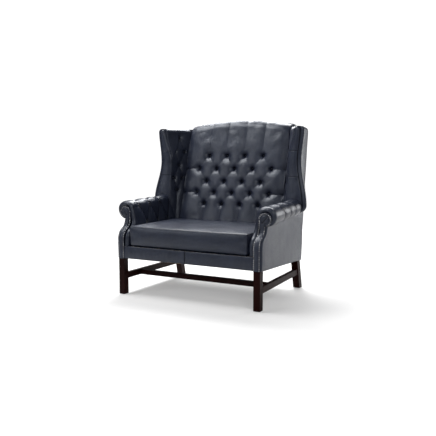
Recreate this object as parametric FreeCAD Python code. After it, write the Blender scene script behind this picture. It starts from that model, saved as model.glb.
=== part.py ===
"""High back settee: a two-seat wing settee with a deep-buttoned back, wings and rolled arms on square legs.

Millimetres, +Z up, +Y towards the back, +X to the right seen from the front. Everything is laid out from
the front faces of the front legs (y = 0) and moved at the end, so that the origin is at the middle of the
footprint, on the floor.
"""

import FreeCAD
import Part
import math
import os

V = FreeCAD.Vector

# Driving places: the width over the front legs, the depth at the base, and the main heights
FRONT_SPAN = 1042.0
BASE_DEPTH = 733.0
FRONT_CLEARANCE = 249.0
ROLL_Z_FRONT = 571.0
CREST_Z = 1203.0

# Legs and stretchers
FRONT_LEG = 44.0
REAR_LEG = 48.0
REAR_LEG_INSET = 14.0
REAR_SPAN = FRONT_SPAN - 2 * REAR_LEG_INSET
REAR_FOOT_INSET = 6.0
REAR_FOOT_Y = BASE_DEPTH - REAR_FOOT_INSET
REAR_RAKE = 0.257
REAR_DROP = 44.0
REAR_CLEARANCE = FRONT_CLEARANCE - REAR_DROP
STRETCHER_Z = 105.0
SIDE_STRETCHER_HEIGHT = 39.0
SIDE_STRETCHER_WIDTH = 28.0
SIDE_STRETCHER_INSET = 6.0
CROSS_STRETCHER_HEIGHT = 33.0
CROSS_STRETCHER_WIDTH = 34.0
CROSS_STRETCHER_Y = 199.0
TENON_LENGTH = 14.0
TENON_THICKNESS = 12.0
TENON_HEIGHT = 20.0
GLIDE_RADIUS = 9.0
GLIDE_HEIGHT = 4.0

# Seat frame
RAIL_THICKNESS = 28.0
FRONT_RAIL_HEIGHT = 69.0
RAIL_TOP = FRONT_CLEARANCE + FRONT_RAIL_HEIGHT
BACK_RAIL_INSET = 49.0
BACK_RAIL_Y = BASE_DEPTH - BACK_RAIL_INSET
CORNER_BLOCK = 70.0
SPRING_COUNT = 5
SPRING_SIDE_GAP = 139.0
SPRING_WIRE = 4.0
SPRING_PITCH = 34.0
SPRING_HALF_WIDTH = 28.0
SPRING_INSET = 16.0
CLIP_THICKNESS = 2.0
CLIP_WIDTH = 24.0
SPRING_TOP = RAIL_TOP + CLIP_THICKNESS + SPRING_WIRE
DECK_THICKNESS = 9.0
DECK_LAP = 8.0
DUST_COVER_THICKNESS = 2.0
SEAT_TOP = SPRING_TOP + DECK_THICKNESS

# Outer covers
COVER = 4.0
PANEL_MARGIN = 11.0
PANEL_GAP = 1.0
PIPING_RADIUS = 4.0
BUTTON_RADIUS = 9.0
BUTTON_TOP_RADIUS = 5.4
BUTTON_HEIGHT = 6.0
DIMPLE = 12.0

# Arms: heights from the middle of the roll, places across from the outer edge of the facing
FACING_WIDTH = 46.0
FACING_OUTER_X = FRONT_SPAN / 2
FACING_INNER_X = FACING_OUTER_X - FACING_WIDTH
FACING_HEAD_INSET = 4.0
FACING_HEAD_X = FACING_OUTER_X - FACING_HEAD_INSET
FACING_HEAD_DROP = 18.0
FACING_HEAD_Z = ROLL_Z_FRONT - FACING_HEAD_DROP
FACING_HEAD_RADIUS = 43.0
ROLL_RISE = 21.0
ROLL_Z_REAR = ROLL_Z_FRONT + ROLL_RISE
ROLL_RADIUS_FRONT = 58.0
ROLL_RADIUS_REAR = 50.0
ROLL_OVERHANG = 10.0
ROLL_X = FACING_OUTER_X + ROLL_OVERHANG
ARM_FRONT_Y = 79.0
LEAN_DROP = 61.0
LEAN_HEIGHT = 129.0
LEAN_END_Z = ROLL_Z_FRONT - LEAN_DROP
LEAN_START_Z = LEAN_END_Z - LEAN_HEIGHT
ARM_BOARD_GAP = 2.0
ARM_POST_SETBACK = 8.0
ARM_POST_DEPTH = 34.0
ARM_RAIL_DROP = 47.0
ARM_RAIL_TOP = ROLL_Z_FRONT - ARM_RAIL_DROP
ARM_RAIL_HEIGHT = 40.0
ARM_BASE_X = FACING_INNER_X
ARM_PAD = 23.0
ARM_FOOT_X = ARM_BASE_X - ARM_PAD
ARM_FOOT_PUFF = 42.0
ARM_PUFF = 19.0
ARM_PLEAT = 6.0
ARM_SHOULDER_DROP = 8.0
ARM_ROW_RISE = 19.0
ARM_ROW_PITCH = 110.0
ARM_ROW_HIGH = ROLL_Z_FRONT + ARM_ROW_RISE
ARM_ROW_LOW = ARM_ROW_HIGH - ARM_ROW_PITCH
ARM_LOW_PAD = 19.0
ARM_LOW_BUTTON_X = ARM_BASE_X - ARM_LOW_PAD
ARM_HIGH_BUTTON_X = ARM_BASE_X
ARM_BUTTON_COUNT = 3
ARM_BUTTON_FIRST_Y = 170.0
ARM_BUTTON_END_GAP = 36.0
HIGH_BUTTON_TILT = 0.3

# Back: the rear face leans at two slopes, the buttoned face is upright below the seat and leans above it
REAR_FACE_LOW_Y = BASE_DEPTH
KNEE_RISE = 97.0
KNEE_STEP = 17.0
REAR_FACE_KNEE_Z = SEAT_TOP + KNEE_RISE
REAR_FACE_KNEE_Y = REAR_FACE_LOW_Y + KNEE_STEP
REAR_FACE_SLOPE = 0.183
UPRIGHT_RISE = 137.0
BACK_UPRIGHT_Z = SEAT_TOP + UPRIGHT_RISE
BUTTON_FACE_RISE = 427.0
BUTTON_FACE_Z = SEAT_TOP + BUTTON_FACE_RISE
BACK_THICKNESS = 110.4
BUTTON_FACE_Y = REAR_FACE_KNEE_Y + REAR_FACE_SLOPE * (BUTTON_FACE_Z - REAR_FACE_KNEE_Z) - BACK_THICKNESS
BUTTON_FACE_SLOPE = 0.26
BACK_SIDE_STEP = 47.0
BACK_HALF_WIDTH = ARM_FOOT_X - BACK_SIDE_STEP
BACK_FRAME_DEPTH = 40.0
WEBBING_THICKNESS = 2.0
WEBBING_WIDTH = 50.0
WEBBING_COUNT = 5
WEBBING_SIDE_GAP = 75.0
CREST_RADIUS = 1841.0
CREST_ROLL = 123.0
CREST_AXIS_Z = CREST_Z - CREST_ROLL
CREST_SWELL = 26.7
CREST_CORE = 6.0
CREST_ANGLES = (0, 22, 45, 68, 90)
TOP_RAIL_HEIGHT = 78.0
TOP_RAIL_CAP = 12.0
LOW_RAIL_HEIGHT = 50.0
PUFF_DEPTH = 38.0
FOLD_RISE = 7.0
PLEAT_DEPTH = 8.0
SIDE_FALL = 12.0
SIDE_PLEAT_RISE = 26.6
BACK_SIDE_MARGIN = 42.5
BUTTON_PITCH = (BACK_HALF_WIDTH - BACK_SIDE_MARGIN) / 2.5
FIRST_ROW_RISE = 253.0
LAST_ROW_DROP = 145.0
FIRST_ROW = SEAT_TOP + FIRST_ROW_RISE
LAST_ROW = CREST_AXIS_Z - LAST_ROW_DROP
ROW_SPREAD = (0.0, 0.2321, 0.467, 0.7335, 1.0)
BACK_ROWS = [FIRST_ROW + (LAST_ROW - FIRST_ROW) * share for share in ROW_SPREAD]

# Wings: places from the arm and the back
WING_STEP = 68.0
WING_TOP = CREST_Z - WING_STEP
WING_CAP = 26.0
WING_CAP_STEPS = ((0.0, 0.0), (0.45, 0.04), (0.8, 0.11), (1.0, 0.24))
WING_FOOT_RISE = 14.0
WING_FOOT_Z = ROLL_Z_REAR + WING_FOOT_RISE
WING_SKIRT_DROP = 47.0
WING_SKIRT_Z = ROLL_Z_REAR - WING_SKIRT_DROP
WING_SKIRT_STEPS = ((0.0, 0.0), (0.17, 0.55), (0.5, 0.87), (1.0, 1.0))
WING_OVERHANG = 12.0
WING_WAIST_X = FACING_OUTER_X + WING_OVERHANG
WING_HEAD_HEIGHT = 235.0
WING_WAIST_Z = WING_TOP - WING_HEAD_HEIGHT
WING_FOOT_FLARE = 48.0
WING_FOOT_SPAN = 300.0
WING_HEAD_FLARE = 20.0
WING_PROJECTION = 126.0
WING_FRONT_Y = BUTTON_FACE_Y - WING_PROJECTION
WING_FOOT_FORWARD = 24.0
WING_BORDER_WIDTH = 70.0
WING_HEAD_NARROWING = 22.0
WING_BORDER_DEPTH = 28.0
WING_BORDER_SWELL = 9.0
WING_BORDER_STEP = 6.0
WING_BEAD_LENGTH = 72.0
WING_BEAD_SWELL = 27.0
WING_BEAD_STEP = 4.0
WING_BOARD = 22.0
WING_BOARD_INSET = 14.0
WING_PUFF = 15.0
WING_OUTER_SHARE = 0.72
WING_FIRST_RISE = 76.0
WING_LAST_DROP = 63.0
WING_FIRST_ROW = WING_FOOT_Z + WING_FIRST_RISE
WING_LAST_ROW = WING_TOP - WING_LAST_DROP
WING_SPREAD = (0.0, 0.2333, 0.4769, 0.7282, 1.0)
WING_ROWS = [WING_FIRST_ROW + (WING_LAST_ROW - WING_FIRST_ROW) * share for share in WING_SPREAD]
ARM_END_STEP = 38.0
ARM_END_Y = WING_FRONT_Y - ARM_END_STEP
ARM_BUTTON_PITCH = (ARM_END_Y - ARM_BUTTON_END_GAP - ARM_BUTTON_FIRST_Y) / (ARM_BUTTON_COUNT - 0.5)

# Seat cushion: it fills the seat between the arms and stands just clear of the back
CUSHION_END_CLEARANCE = 2.5
CUSHION_HALF_WIDTH = ARM_FOOT_X - ARM_PUFF / 2 - CUSHION_END_CLEARANCE
CUSHION_FRONT = 1.0
CUSHION_SIDE_SWELL = 5.0
CUSHION_BACK_CLEARANCE = 3.6
BACK_LOW_Y = BUTTON_FACE_Y - BUTTON_FACE_SLOPE * (BUTTON_FACE_Z - BACK_UPRIGHT_Z)
CUSHION_BACK = BACK_LOW_Y - PUFF_DEPTH - CUSHION_SIDE_SWELL - CUSHION_BACK_CLEARANCE
CUSHION_EDGE_HEIGHT = 132.0
CUSHION_CROWN = 15.0
CUSHION_END_CROWN = 5.25
CUSHION_CORNER = 10.0
CUSHION_END_LENGTH = 18.0
CUSHION_COVER = 3.0
CUSHION_LIFT_GAP = 0.5
ZIP_END_GAP = 90.0
ZIP_LENGTH = 2 * (CUSHION_HALF_WIDTH - ZIP_END_GAP)
ZIP_HEIGHT = 12.0
ZIP_THICKNESS = 2.0

# Nails
NAIL_RADIUS = 4.5
NAIL_TOP_RADIUS = 2.5
NAIL_HEIGHT = 2.5
NAIL_PITCH = 12.0
NAIL_MARGIN = 5.0
NAIL_ARC = math.radians(235)

# How far a helper solid reaches past what it cuts
BEYOND = 200.0

OUT = "parts"


# Small tools

def line(a, b):
    return Part.LineSegment(a, b).toShape()


def swell(a, b, push):
    """An arc from a to b whose middle is pushed off the chord, or a line where there is no push."""
    if push.Length < 0.05:
        return line(a, b)
    return Part.Arc(a, (a + b) * 0.5 + push, b).toShape()


def outline(corners, pushes):
    """A closed wire of arcs: one push for each stretch from a corner to the next."""
    edges = []
    for index, corner in enumerate(corners):
        following = corners[(index + 1) % len(corners)]
        edges.append(swell(corner, following, pushes[index]))
    return Part.Wire(edges)


def polygon(points):
    return Part.makePolygon(list(points) + [points[0]])


def flat_section(points, z):
    """A level closed wire through points of the plan."""
    return polygon([V(x, y, z) for x, y in points])


def prism(points, direction):
    """A solid from a flat closed outline pushed along a direction."""
    return Part.Face(polygon(points)).extrude(direction)


def box(x0, x1, y0, y1, z0, z1):
    return Part.makeBox(x1 - x0, y1 - y0, z1 - z0, V(x0, y0, z0))


def side_prism(points, x0, x1):
    """A solid whose outline is drawn in the side view and runs from x0 to x1."""
    return prism([V(x0, y, z) for y, z in points], V(x1 - x0, 0, 0))


def plan_prism(points, z0, z1):
    """A solid whose outline is drawn from above and runs from z0 to z1."""
    return prism([V(x, y, z0) for x, y in points], V(0, 0, z1 - z0))


def loft(wires):
    return Part.makeLoft(wires, True, True)


def mirror(shape):
    return shape.mirror(V(0, 0, 0), V(1, 0, 0))


def mix(a, b, t):
    return a + (b - a) * t


def ease(t):
    """0 to 1 with a level start and end."""
    return (1 - math.cos(math.pi * max(0.0, min(1.0, t)))) / 2


# Faces that several pieces share

def rear_face_y(z):
    """The outside back in the side view."""
    if z < REAR_FACE_KNEE_Z:
        share = (z - REAR_CLEARANCE) / (REAR_FACE_KNEE_Z - REAR_CLEARANCE)
        return mix(REAR_FACE_LOW_Y, REAR_FACE_KNEE_Y, share)
    return REAR_FACE_KNEE_Y + REAR_FACE_SLOPE * (z - REAR_FACE_KNEE_Z)


def frame_rear_y(z):
    return rear_face_y(z) - COVER


def frame_front_y(z):
    return frame_rear_y(z) - BACK_FRAME_DEPTH


def button_face_y(z):
    """Where the back's buttons lie, in the side view."""
    return BUTTON_FACE_Y + BUTTON_FACE_SLOPE * (max(z, BACK_UPRIGHT_Z) - BUTTON_FACE_Z)


def crest_z(x):
    """The arched top of the back."""
    return CREST_Z - CREST_RADIUS + math.sqrt(CREST_RADIUS ** 2 - x ** 2)


def panel_x(y):
    """The outside arm's flat face, closer in at the back."""
    front, rear = FRONT_SPAN / 2 + PANEL_MARGIN, REAR_SPAN / 2 + COVER + PANEL_GAP
    return mix(front, rear, y / rear_face_y(WING_SKIRT_Z))


def underside_z(y):
    return mix(FRONT_CLEARANCE, REAR_CLEARANCE, y / REAR_FACE_LOW_Y)


def rear_leg_front_y(z):
    return REAR_FOOT_Y - REAR_RAKE * z


def lean_angle():
    """Each of the two arcs of the arm's front turns by this much."""
    return 2 * math.atan2(ARM_FRONT_Y, LEAN_END_Z - LEAN_START_Z)


def lean_radius():
    return ARM_FRONT_Y / 2 / (1 - math.cos(lean_angle()))


def front_edges(shift, z0, z1):
    """The S-shaped front of an arm in the side view, moved back by a shift: line, two arcs, line."""
    turn, radius = lean_angle(), lean_radius()

    def low(angle):
        return V(0, shift + radius * (1 - math.cos(angle)), LEAN_START_Z + radius * math.sin(angle))

    def high(angle):
        back = shift + ARM_FRONT_Y - radius * (1 - math.cos(angle))
        return V(0, back, LEAN_END_Z - radius * math.sin(angle))

    return [
        line(V(0, shift, z0), low(0)),
        Part.Arc(low(0), low(turn / 2), low(turn)).toShape(),
        Part.Arc(high(turn), high(turn / 2), high(0)).toShape(),
        line(high(0), V(0, shift + ARM_FRONT_Y, z1)),
    ]


def front_face_at(z):
    """The place and slope of an arm's front at a height: y, and the angle it leans back by."""
    turn, radius = lean_angle(), lean_radius()
    middle = (LEAN_START_Z + LEAN_END_Z) / 2
    if z <= LEAN_START_Z:
        return 0.0, 0.0
    if z >= LEAN_END_Z:
        return ARM_FRONT_Y, 0.0
    if z <= middle:
        angle = min(turn, math.asin((z - LEAN_START_Z) / radius))
        return radius * (1 - math.cos(angle)), angle
    angle = min(turn, math.asin((LEAN_END_Z - z) / radius))
    return ARM_FRONT_Y - radius * (1 - math.cos(angle)), angle


def front_slab(x0, x1, shift0, shift1, z0, z1):
    """A board with an arm's S-shaped front, between two shifts."""
    front = front_edges(shift0, z0, z1)
    rear = front_edges(shift1, z0, z1)
    top = line(V(0, shift0 + ARM_FRONT_Y, z1), V(0, shift1 + ARM_FRONT_Y, z1))
    bottom = line(V(0, shift0, z0), V(0, shift1, z0))
    face = Part.Face(Part.Wire(Part.__sortEdges__(front + [top] + rear + [bottom])))
    slab = face.extrude(V(x1 - x0, 0, 0))
    slab.translate(V(x0, 0, 0))
    return slab


# Legs and stretchers

def stretcher_tenon_z():
    return STRETCHER_Z + (SIDE_STRETCHER_HEIGHT - TENON_HEIGHT) / 2


def stretcher_tenon(side_x, y0):
    half = TENON_THICKNESS / 2
    z0 = stretcher_tenon_z()
    return box(side_x - half, side_x + half, y0, y0 + TENON_LENGTH, z0, z0 + TENON_HEIGHT)


def side_stretcher_front_x():
    return FRONT_SPAN / 2 - SIDE_STRETCHER_INSET - SIDE_STRETCHER_WIDTH / 2


def front_leg():
    outer = FRONT_SPAN / 2
    leg = box(outer - FRONT_LEG, outer, 0, FRONT_LEG, GLIDE_HEIGHT, RAIL_TOP)
    return leg.cut(stretcher_tenon(side_stretcher_front_x(), FRONT_LEG - TENON_LENGTH))


def post_top():
    return WING_TOP - WING_CAP


def rear_post_outer_x(z):
    share = (z - REAR_FACE_KNEE_Z) / (post_top() - REAR_FACE_KNEE_Z)
    return mix(REAR_SPAN / 2, rear_corner_x(), max(0.0, share))


def rear_corner_x():
    """The outer side of the back post at the wing's top."""
    return WING_WAIST_X - WING_BORDER_WIDTH / 2


def rear_leg():
    """The raked leg, which runs on up as the back post."""
    levels = [
        (GLIDE_HEIGHT, rear_leg_front_y(GLIDE_HEIGHT), REAR_LEG),
        (REAR_CLEARANCE, rear_leg_front_y(REAR_CLEARANCE), REAR_LEG),
        (RAIL_TOP, frame_rear_y(RAIL_TOP) - REAR_LEG, REAR_LEG),
        (SEAT_TOP, frame_front_y(SEAT_TOP), BACK_FRAME_DEPTH),
        (REAR_FACE_KNEE_Z, frame_front_y(REAR_FACE_KNEE_Z), BACK_FRAME_DEPTH),
        (post_top(), frame_front_y(post_top()), BACK_FRAME_DEPTH),
    ]
    wires = []
    for z, y, depth in levels:
        outer = rear_post_outer_x(z)
        inner = outer - REAR_LEG
        plan = [(inner, y), (outer, y), (outer, y + depth), (inner, y + depth)]
        wires.append(flat_section(plan, z))
    return loft(wires)


def side_stretcher():
    """Runs from the front leg to the raked rear leg, with a stub tenon in front."""
    front = side_stretcher_front_x()
    rear = REAR_SPAN / 2 - SIDE_STRETCHER_INSET - SIDE_STRETCHER_WIDTH / 2
    low, high = STRETCHER_Z, STRETCHER_Z + SIDE_STRETCHER_HEIGHT
    half = SIDE_STRETCHER_WIDTH / 2

    def section(x, y_low, y_high):
        return polygon([V(x - half, y_low, low), V(x + half, y_low, low),
                        V(x + half, y_high, high), V(x - half, y_high, high)])

    rail = loft([section(front, FRONT_LEG, FRONT_LEG),
                 section(rear, rear_leg_front_y(low), rear_leg_front_y(high))])
    return rail.fuse(stretcher_tenon(front, FRONT_LEG - TENON_LENGTH)).removeSplitter()


def stretcher_inner_x(y):
    share = (y - FRONT_LEG) / (rear_leg_front_y(STRETCHER_Z) - FRONT_LEG)
    return mix(FRONT_SPAN, REAR_SPAN, share) / 2 - SIDE_STRETCHER_INSET - SIDE_STRETCHER_WIDTH / 2


def cross_stretcher(side):
    y0, y1 = CROSS_STRETCHER_Y, CROSS_STRETCHER_Y + CROSS_STRETCHER_WIDTH
    front, rear = stretcher_inner_x(y0), stretcher_inner_x(y1)
    points = [(-front, y0), (front, y0), (rear, y1), (-rear, y1)]
    bar = plan_prism(points, STRETCHER_Z, STRETCHER_Z + CROSS_STRETCHER_HEIGHT)
    return bar.cut(side).cut(mirror(side))


def foot_glides():
    front_x = (FRONT_SPAN - FRONT_LEG) / 2
    rear_x = (REAR_SPAN - REAR_LEG) / 2
    rear_y = rear_leg_front_y(GLIDE_HEIGHT) + REAR_LEG / 2
    places = [(front_x, FRONT_LEG / 2), (rear_x, rear_y)]
    glides = []
    for x, y in places:
        glides += [Part.makeCylinder(GLIDE_RADIUS, GLIDE_HEIGHT, V(s * x, y, 0)) for s in (1, -1)]
    return glides


# Seat frame

def front_seat_rail():
    half = FRONT_SPAN / 2 - FRONT_LEG
    return box(-half, half, COVER, COVER + RAIL_THICKNESS, FRONT_CLEARANCE, RAIL_TOP)


def side_rail_rear_y(z):
    """The rear leg's front face inside the seat frame."""
    share = (z - REAR_CLEARANCE) / (RAIL_TOP - REAR_CLEARANCE)
    return mix(rear_leg_front_y(REAR_CLEARANCE), frame_rear_y(RAIL_TOP) - REAR_LEG, share)


def side_rail_inner_x():
    return REAR_SPAN / 2 - RAIL_THICKNESS


def side_seat_rail():
    rear_y = side_rail_rear_y(REAR_CLEARANCE)
    rear_z = underside_z(rear_y)
    points = [(FRONT_LEG, underside_z(FRONT_LEG)), (side_rail_rear_y(rear_z), rear_z),
              (side_rail_rear_y(RAIL_TOP), RAIL_TOP), (side_rail_rear_y(RAIL_TOP), SPRING_TOP),
              (FRONT_LEG, SPRING_TOP)]
    return side_prism(points, side_rail_inner_x(), side_rail_inner_x() + RAIL_THICKNESS)


def back_seat_rail():
    half = REAR_SPAN / 2 - REAR_LEG
    z0 = underside_z(BACK_RAIL_Y)
    return box(-half, half, BACK_RAIL_Y, BACK_RAIL_Y + RAIL_THICKNESS, z0, RAIL_TOP)


def corner_blocks():
    """Glued blocks across the seat frame's four corners."""
    z1 = RAIL_TOP - RAIL_THICKNESS / 2
    z0 = z1 - RAIL_THICKNESS
    front_x = FRONT_SPAN / 2 - FRONT_LEG
    front_y = COVER + RAIL_THICKNESS
    rear_x = REAR_SPAN / 2 - REAR_LEG
    side_x = side_rail_inner_x()
    front = plan_prism([(front_x, front_y), (front_x, FRONT_LEG), (side_x, FRONT_LEG),
                        (side_x, front_y + CORNER_BLOCK), (front_x - CORNER_BLOCK, front_y)], z0, z1)
    rear_leg_y = side_rail_rear_y(z0)
    rear = plan_prism([(rear_x, BACK_RAIL_Y), (rear_x - CORNER_BLOCK, BACK_RAIL_Y),
                       (side_x, rear_leg_y - CORNER_BLOCK), (side_x, rear_leg_y), (rear_x, rear_leg_y)], z0, z1)
    return [front, mirror(front), rear, mirror(rear)]


def spring_xs():
    spacing = 2 * (side_rail_inner_x() - SPRING_SIDE_GAP) / (SPRING_COUNT - 1)
    return [(index - (SPRING_COUNT - 1) / 2) * spacing for index in range(SPRING_COUNT)]


def spring_runs():
    """The y of each straight run of a zigzag spring, from the front rail to the back rail."""
    first = COVER + SPRING_INSET
    last = BACK_RAIL_Y + RAIL_THICKNESS - SPRING_INSET
    count = int((last - first) / SPRING_PITCH)
    step = (last - first) / count
    return [first + step * index for index in range(count + 1)]


def seat_springs():
    """Zigzag springs: level runs joined by half turns."""
    ys = spring_runs()
    turn = (ys[1] - ys[0]) / 2
    z = RAIL_TOP + CLIP_THICKNESS + SPRING_WIRE / 2
    springs = []
    for x in spring_xs():
        edges = []
        for index, y in enumerate(ys):
            side = 1 if index % 2 == 0 else -1
            start = V(x - side * SPRING_HALF_WIDTH, y, z)
            end = V(x + side * SPRING_HALF_WIDTH, y, z)
            edges.append(line(start, end))
            if index < len(ys) - 1:
                following = V(end.x, ys[index + 1], z)
                edges.append(Part.Arc(end, V(end.x + side * turn, y + turn, z), following).toShape())
        path = Part.Wire(edges)
        start = path.Vertexes[0].Point
        circle = Part.Wire([Part.makeCircle(SPRING_WIRE / 2, start, V(1, 0, 0))])
        springs.append(path.makePipeShell([circle], True, False))
    return springs


def spring_clips():
    ys = (spring_runs()[0], spring_runs()[-1])
    half, deep = CLIP_WIDTH / 2, CLIP_WIDTH / 4
    z0, z1 = RAIL_TOP, RAIL_TOP + CLIP_THICKNESS
    clips = []
    for x in spring_xs():
        clips += [box(x - half, x + half, y - deep, y + deep, z0, z1) for y in ys]
    return clips


def seat_deck(post):
    """The felt and cloth under the cushion, lapped over the side rails."""
    half = side_rail_inner_x() + DECK_LAP
    deck = box(-half, half, COVER + RAIL_THICKNESS, BACK_RAIL_Y, SPRING_TOP, SEAT_TOP)
    return deck.cut(post).cut(mirror(post))


def deck_edge_roll():
    """The firm roll along the front rail that the cushion's nose rests on."""
    half = FACING_INNER_X
    return box(-half, half, COVER, COVER + RAIL_THICKNESS, SPRING_TOP, SEAT_TOP)


def dust_cover():
    half = side_rail_inner_x()
    y0, y1 = COVER + RAIL_THICKNESS, BACK_RAIL_Y
    thickness = DUST_COVER_THICKNESS
    points = [(y0, underside_z(y0)), (y1, underside_z(y1)), (y1, underside_z(y1) + thickness),
              (y0, underside_z(y0) + thickness)]
    inner = FRONT_SPAN / 2 - FRONT_LEG
    cloth = side_prism(points, -half, half)
    rear_x = REAR_SPAN / 2 - REAR_LEG
    for side in (1, -1):
        front_leg_space = box(inner, inner + FRONT_LEG, 0, FRONT_LEG, REAR_CLEARANCE, RAIL_TOP)
        rear_y = side_rail_rear_y(REAR_CLEARANCE)
        rear_leg_space = box(rear_x, rear_x + REAR_LEG, rear_y, REAR_FOOT_Y, 0, RAIL_TOP)
        for space in (front_leg_space, rear_leg_space):
            cloth = cloth.cut(space if side > 0 else mirror(space))
    return cloth


# Seat cushion

def cushion_section(x, inset, pull):
    """One upright slice of the cushion, pulled in at its ends."""
    y0, y1 = CUSHION_FRONT + pull + inset, CUSHION_BACK - pull - inset
    z0 = SEAT_TOP + CUSHION_LIFT_GAP + pull / 2 + inset
    z1 = SEAT_TOP + CUSHION_LIFT_GAP + CUSHION_EDGE_HEIGHT - pull - inset
    across = 1 - (x / CUSHION_HALF_WIDTH) ** 2
    corners = [V(x, y0, z0), V(x, y0, z1), V(x, y1, z1), V(x, y1, z0)]
    nose, crown = CUSHION_SIDE_SWELL, mix(CUSHION_END_CROWN, CUSHION_CROWN, across)
    pushes = [V(0, -nose, 0), V(0, 0, crown), V(0, nose, 0), V(0, 0, 0)]
    return outline(corners, pushes)


def cushion_form(inset):
    """A bench cushion: crowned on top, swelled in front, with drawn-in ends."""
    half = CUSHION_HALF_WIDTH - inset
    end, corner = CUSHION_END_LENGTH, CUSHION_CORNER
    stations = [(-half, corner), (-half + end / 3, corner / 3), (-half + end, 0.0), (-half / 2, 0.0), (0.0, 0.0)]
    stations += [(-x, pull) for x, pull in reversed(stations[:-1])]
    return loft([cushion_section(x, inset, pull) for x, pull in stations])


def cushion_zip():
    z0 = SEAT_TOP + CUSHION_LIFT_GAP + (CUSHION_EDGE_HEIGHT - ZIP_HEIGHT) / 2
    y1 = CUSHION_BACK + CUSHION_SIDE_SWELL
    return box(-ZIP_LENGTH / 2, ZIP_LENGTH / 2, y1 - ZIP_THICKNESS, y1, z0, z0 + ZIP_HEIGHT)


def seat_cushion_cover(core, zip_strip):
    return cushion_form(0.0).cut(core).cut(zip_strip)


# Front border under the cushion

def front_border():
    """Half of the leather over the front rail; the halves meet at a seam in the middle."""
    return box(0, FACING_INNER_X, 0, COVER, FRONT_CLEARANCE, SEAT_TOP)


# Back

def back_levels():
    """Heights of the buttoned back's slices, with the phase of the tufting and the depth of its folds.

    In phase 0 the odd columns are drawn in at a button, in phase 1 the even ones.
    """
    fold = PUFF_DEPTH - PLEAT_DEPTH
    levels = [(SEAT_TOP, 0.0, fold), (REAR_FACE_KNEE_Z, 0.0, fold), (BACK_UPRIGHT_Z, 0.0, fold)]
    for index, z in enumerate(BACK_ROWS):
        phase = index % 2
        levels.append((z, float(phase), 0.0))
        if index < len(BACK_ROWS) - 1:
            levels.append(((z + BACK_ROWS[index + 1]) / 2, 0.5, FOLD_RISE))
    levels.append((mix(BACK_ROWS[-1], CREST_AXIS_Z, 0.5), 0.0, fold * 0.75))
    return levels


def tuft_bounds(phase):
    """The x of the folds between the nine columns, and how far each column swells, from 0 to 1."""
    step = BUTTON_PITCH / 2
    odd = mix(DIMPLE, BUTTON_PITCH - DIMPLE, phase)
    even = BUTTON_PITCH - odd
    bounds, swells = [-4 * step - even / 2], []
    for column in range(-4, 5):
        width = odd if column % 2 else even
        bounds.append(column * step + width / 2)
        share = (width - DIMPLE) / (BUTTON_PITCH - 2 * DIMPLE)
        swells.append(math.sin(share * math.pi / 2))
    return bounds, swells


def back_section(z, phase, rise):
    base = button_face_y(z)
    bounds, swells = tuft_bounds(phase)
    open_side = 1 - phase
    edge_rise = mix(rise, SIDE_PLEAT_RISE, open_side)
    corners = [V(-BACK_HALF_WIDTH, base - SIDE_FALL, z)]
    pushes = [V(0, -SIDE_FALL / 2, 0)]
    for index, x in enumerate(bounds):
        at_side = index in (0, len(bounds) - 1)
        corners.append(V(x, base - (edge_rise if at_side else rise), z))
        if index < len(swells):
            near_side = index in (0, len(swells) - 1)
            lift = (rise + edge_rise) / 2 if near_side else rise
            pushes.append(V(0, -(PUFF_DEPTH - lift) * swells[index], 0))
    corners.append(V(BACK_HALF_WIDTH, base - SIDE_FALL, z))
    pushes += [V(0, -SIDE_FALL / 2, 0), V(0, 0, 0)]
    rear = frame_front_y(z) - WEBBING_THICKNESS
    corners += [V(BACK_HALF_WIDTH, rear, z), V(-BACK_HALF_WIDTH, rear, z)]
    pushes += [V(0, 0, 0), V(0, 0, 0)]
    return outline(corners, pushes)


def crest_axis_y():
    return frame_rear_y(CREST_Z)


def crest_point(x, radius, angle):
    """A point of the crest's roll; the angle runs from 0 in front to a right angle on top."""
    return V(x, crest_axis_y() - radius * math.cos(angle), CREST_AXIS_Z + radius * math.sin(angle))


def crest_radius(x, angle):
    front = crest_axis_y() - button_face_y(CREST_AXIS_Z) + CREST_SWELL
    return mix(front, crest_z(x) - CREST_AXIS_Z, angle / (math.pi / 2))


def crest_section(angle, core):
    """One slice of the pleated roll over the back's top, in a plane through the roll's axis."""
    bounds, swells = tuft_bounds(0.0)
    xs = [-BACK_HALF_WIDTH] + bounds + [BACK_HALF_WIDTH]
    side_drop = [SIDE_FALL] + [PLEAT_DEPTH] * len(bounds) + [SIDE_FALL]
    side_drop[1] = side_drop[-2] = PLEAT_DEPTH / 2
    corners = [crest_point(x, crest_radius(x, angle) - drop, angle) for x, drop in zip(xs, side_drop)]
    pushes = []
    for index in range(len(xs) - 1):
        middle_x = (xs[index] + xs[index + 1]) / 2
        share = swells[index - 1] if 0 < index < len(xs) - 2 else 0.6
        drop = PLEAT_DEPTH * (1 - share)
        middle = crest_point(middle_x, crest_radius(middle_x, angle) - drop, angle)
        chord = (corners[index] + corners[index + 1]) * 0.5
        pushes.append(middle - chord)
    corners += [crest_point(BACK_HALF_WIDTH, core, angle), crest_point(-BACK_HALF_WIDTH, core, angle)]
    pushes += [V(0, 0, 0)] * 3
    return outline(corners, pushes)


def behind_back():
    """Everything behind the frame's rear face."""
    z0, z1 = REAR_CLEARANCE - BEYOND, CREST_Z + BEYOND
    knee, reach = REAR_FACE_KNEE_Z, rear_face_y(z1) + BEYOND
    points = [(frame_rear_y(z0), z0), (frame_rear_y(knee), knee), (frame_rear_y(z1), z1), (reach, z1), (reach, z0)]
    return side_prism(points, -REAR_SPAN, REAR_SPAN)


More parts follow.
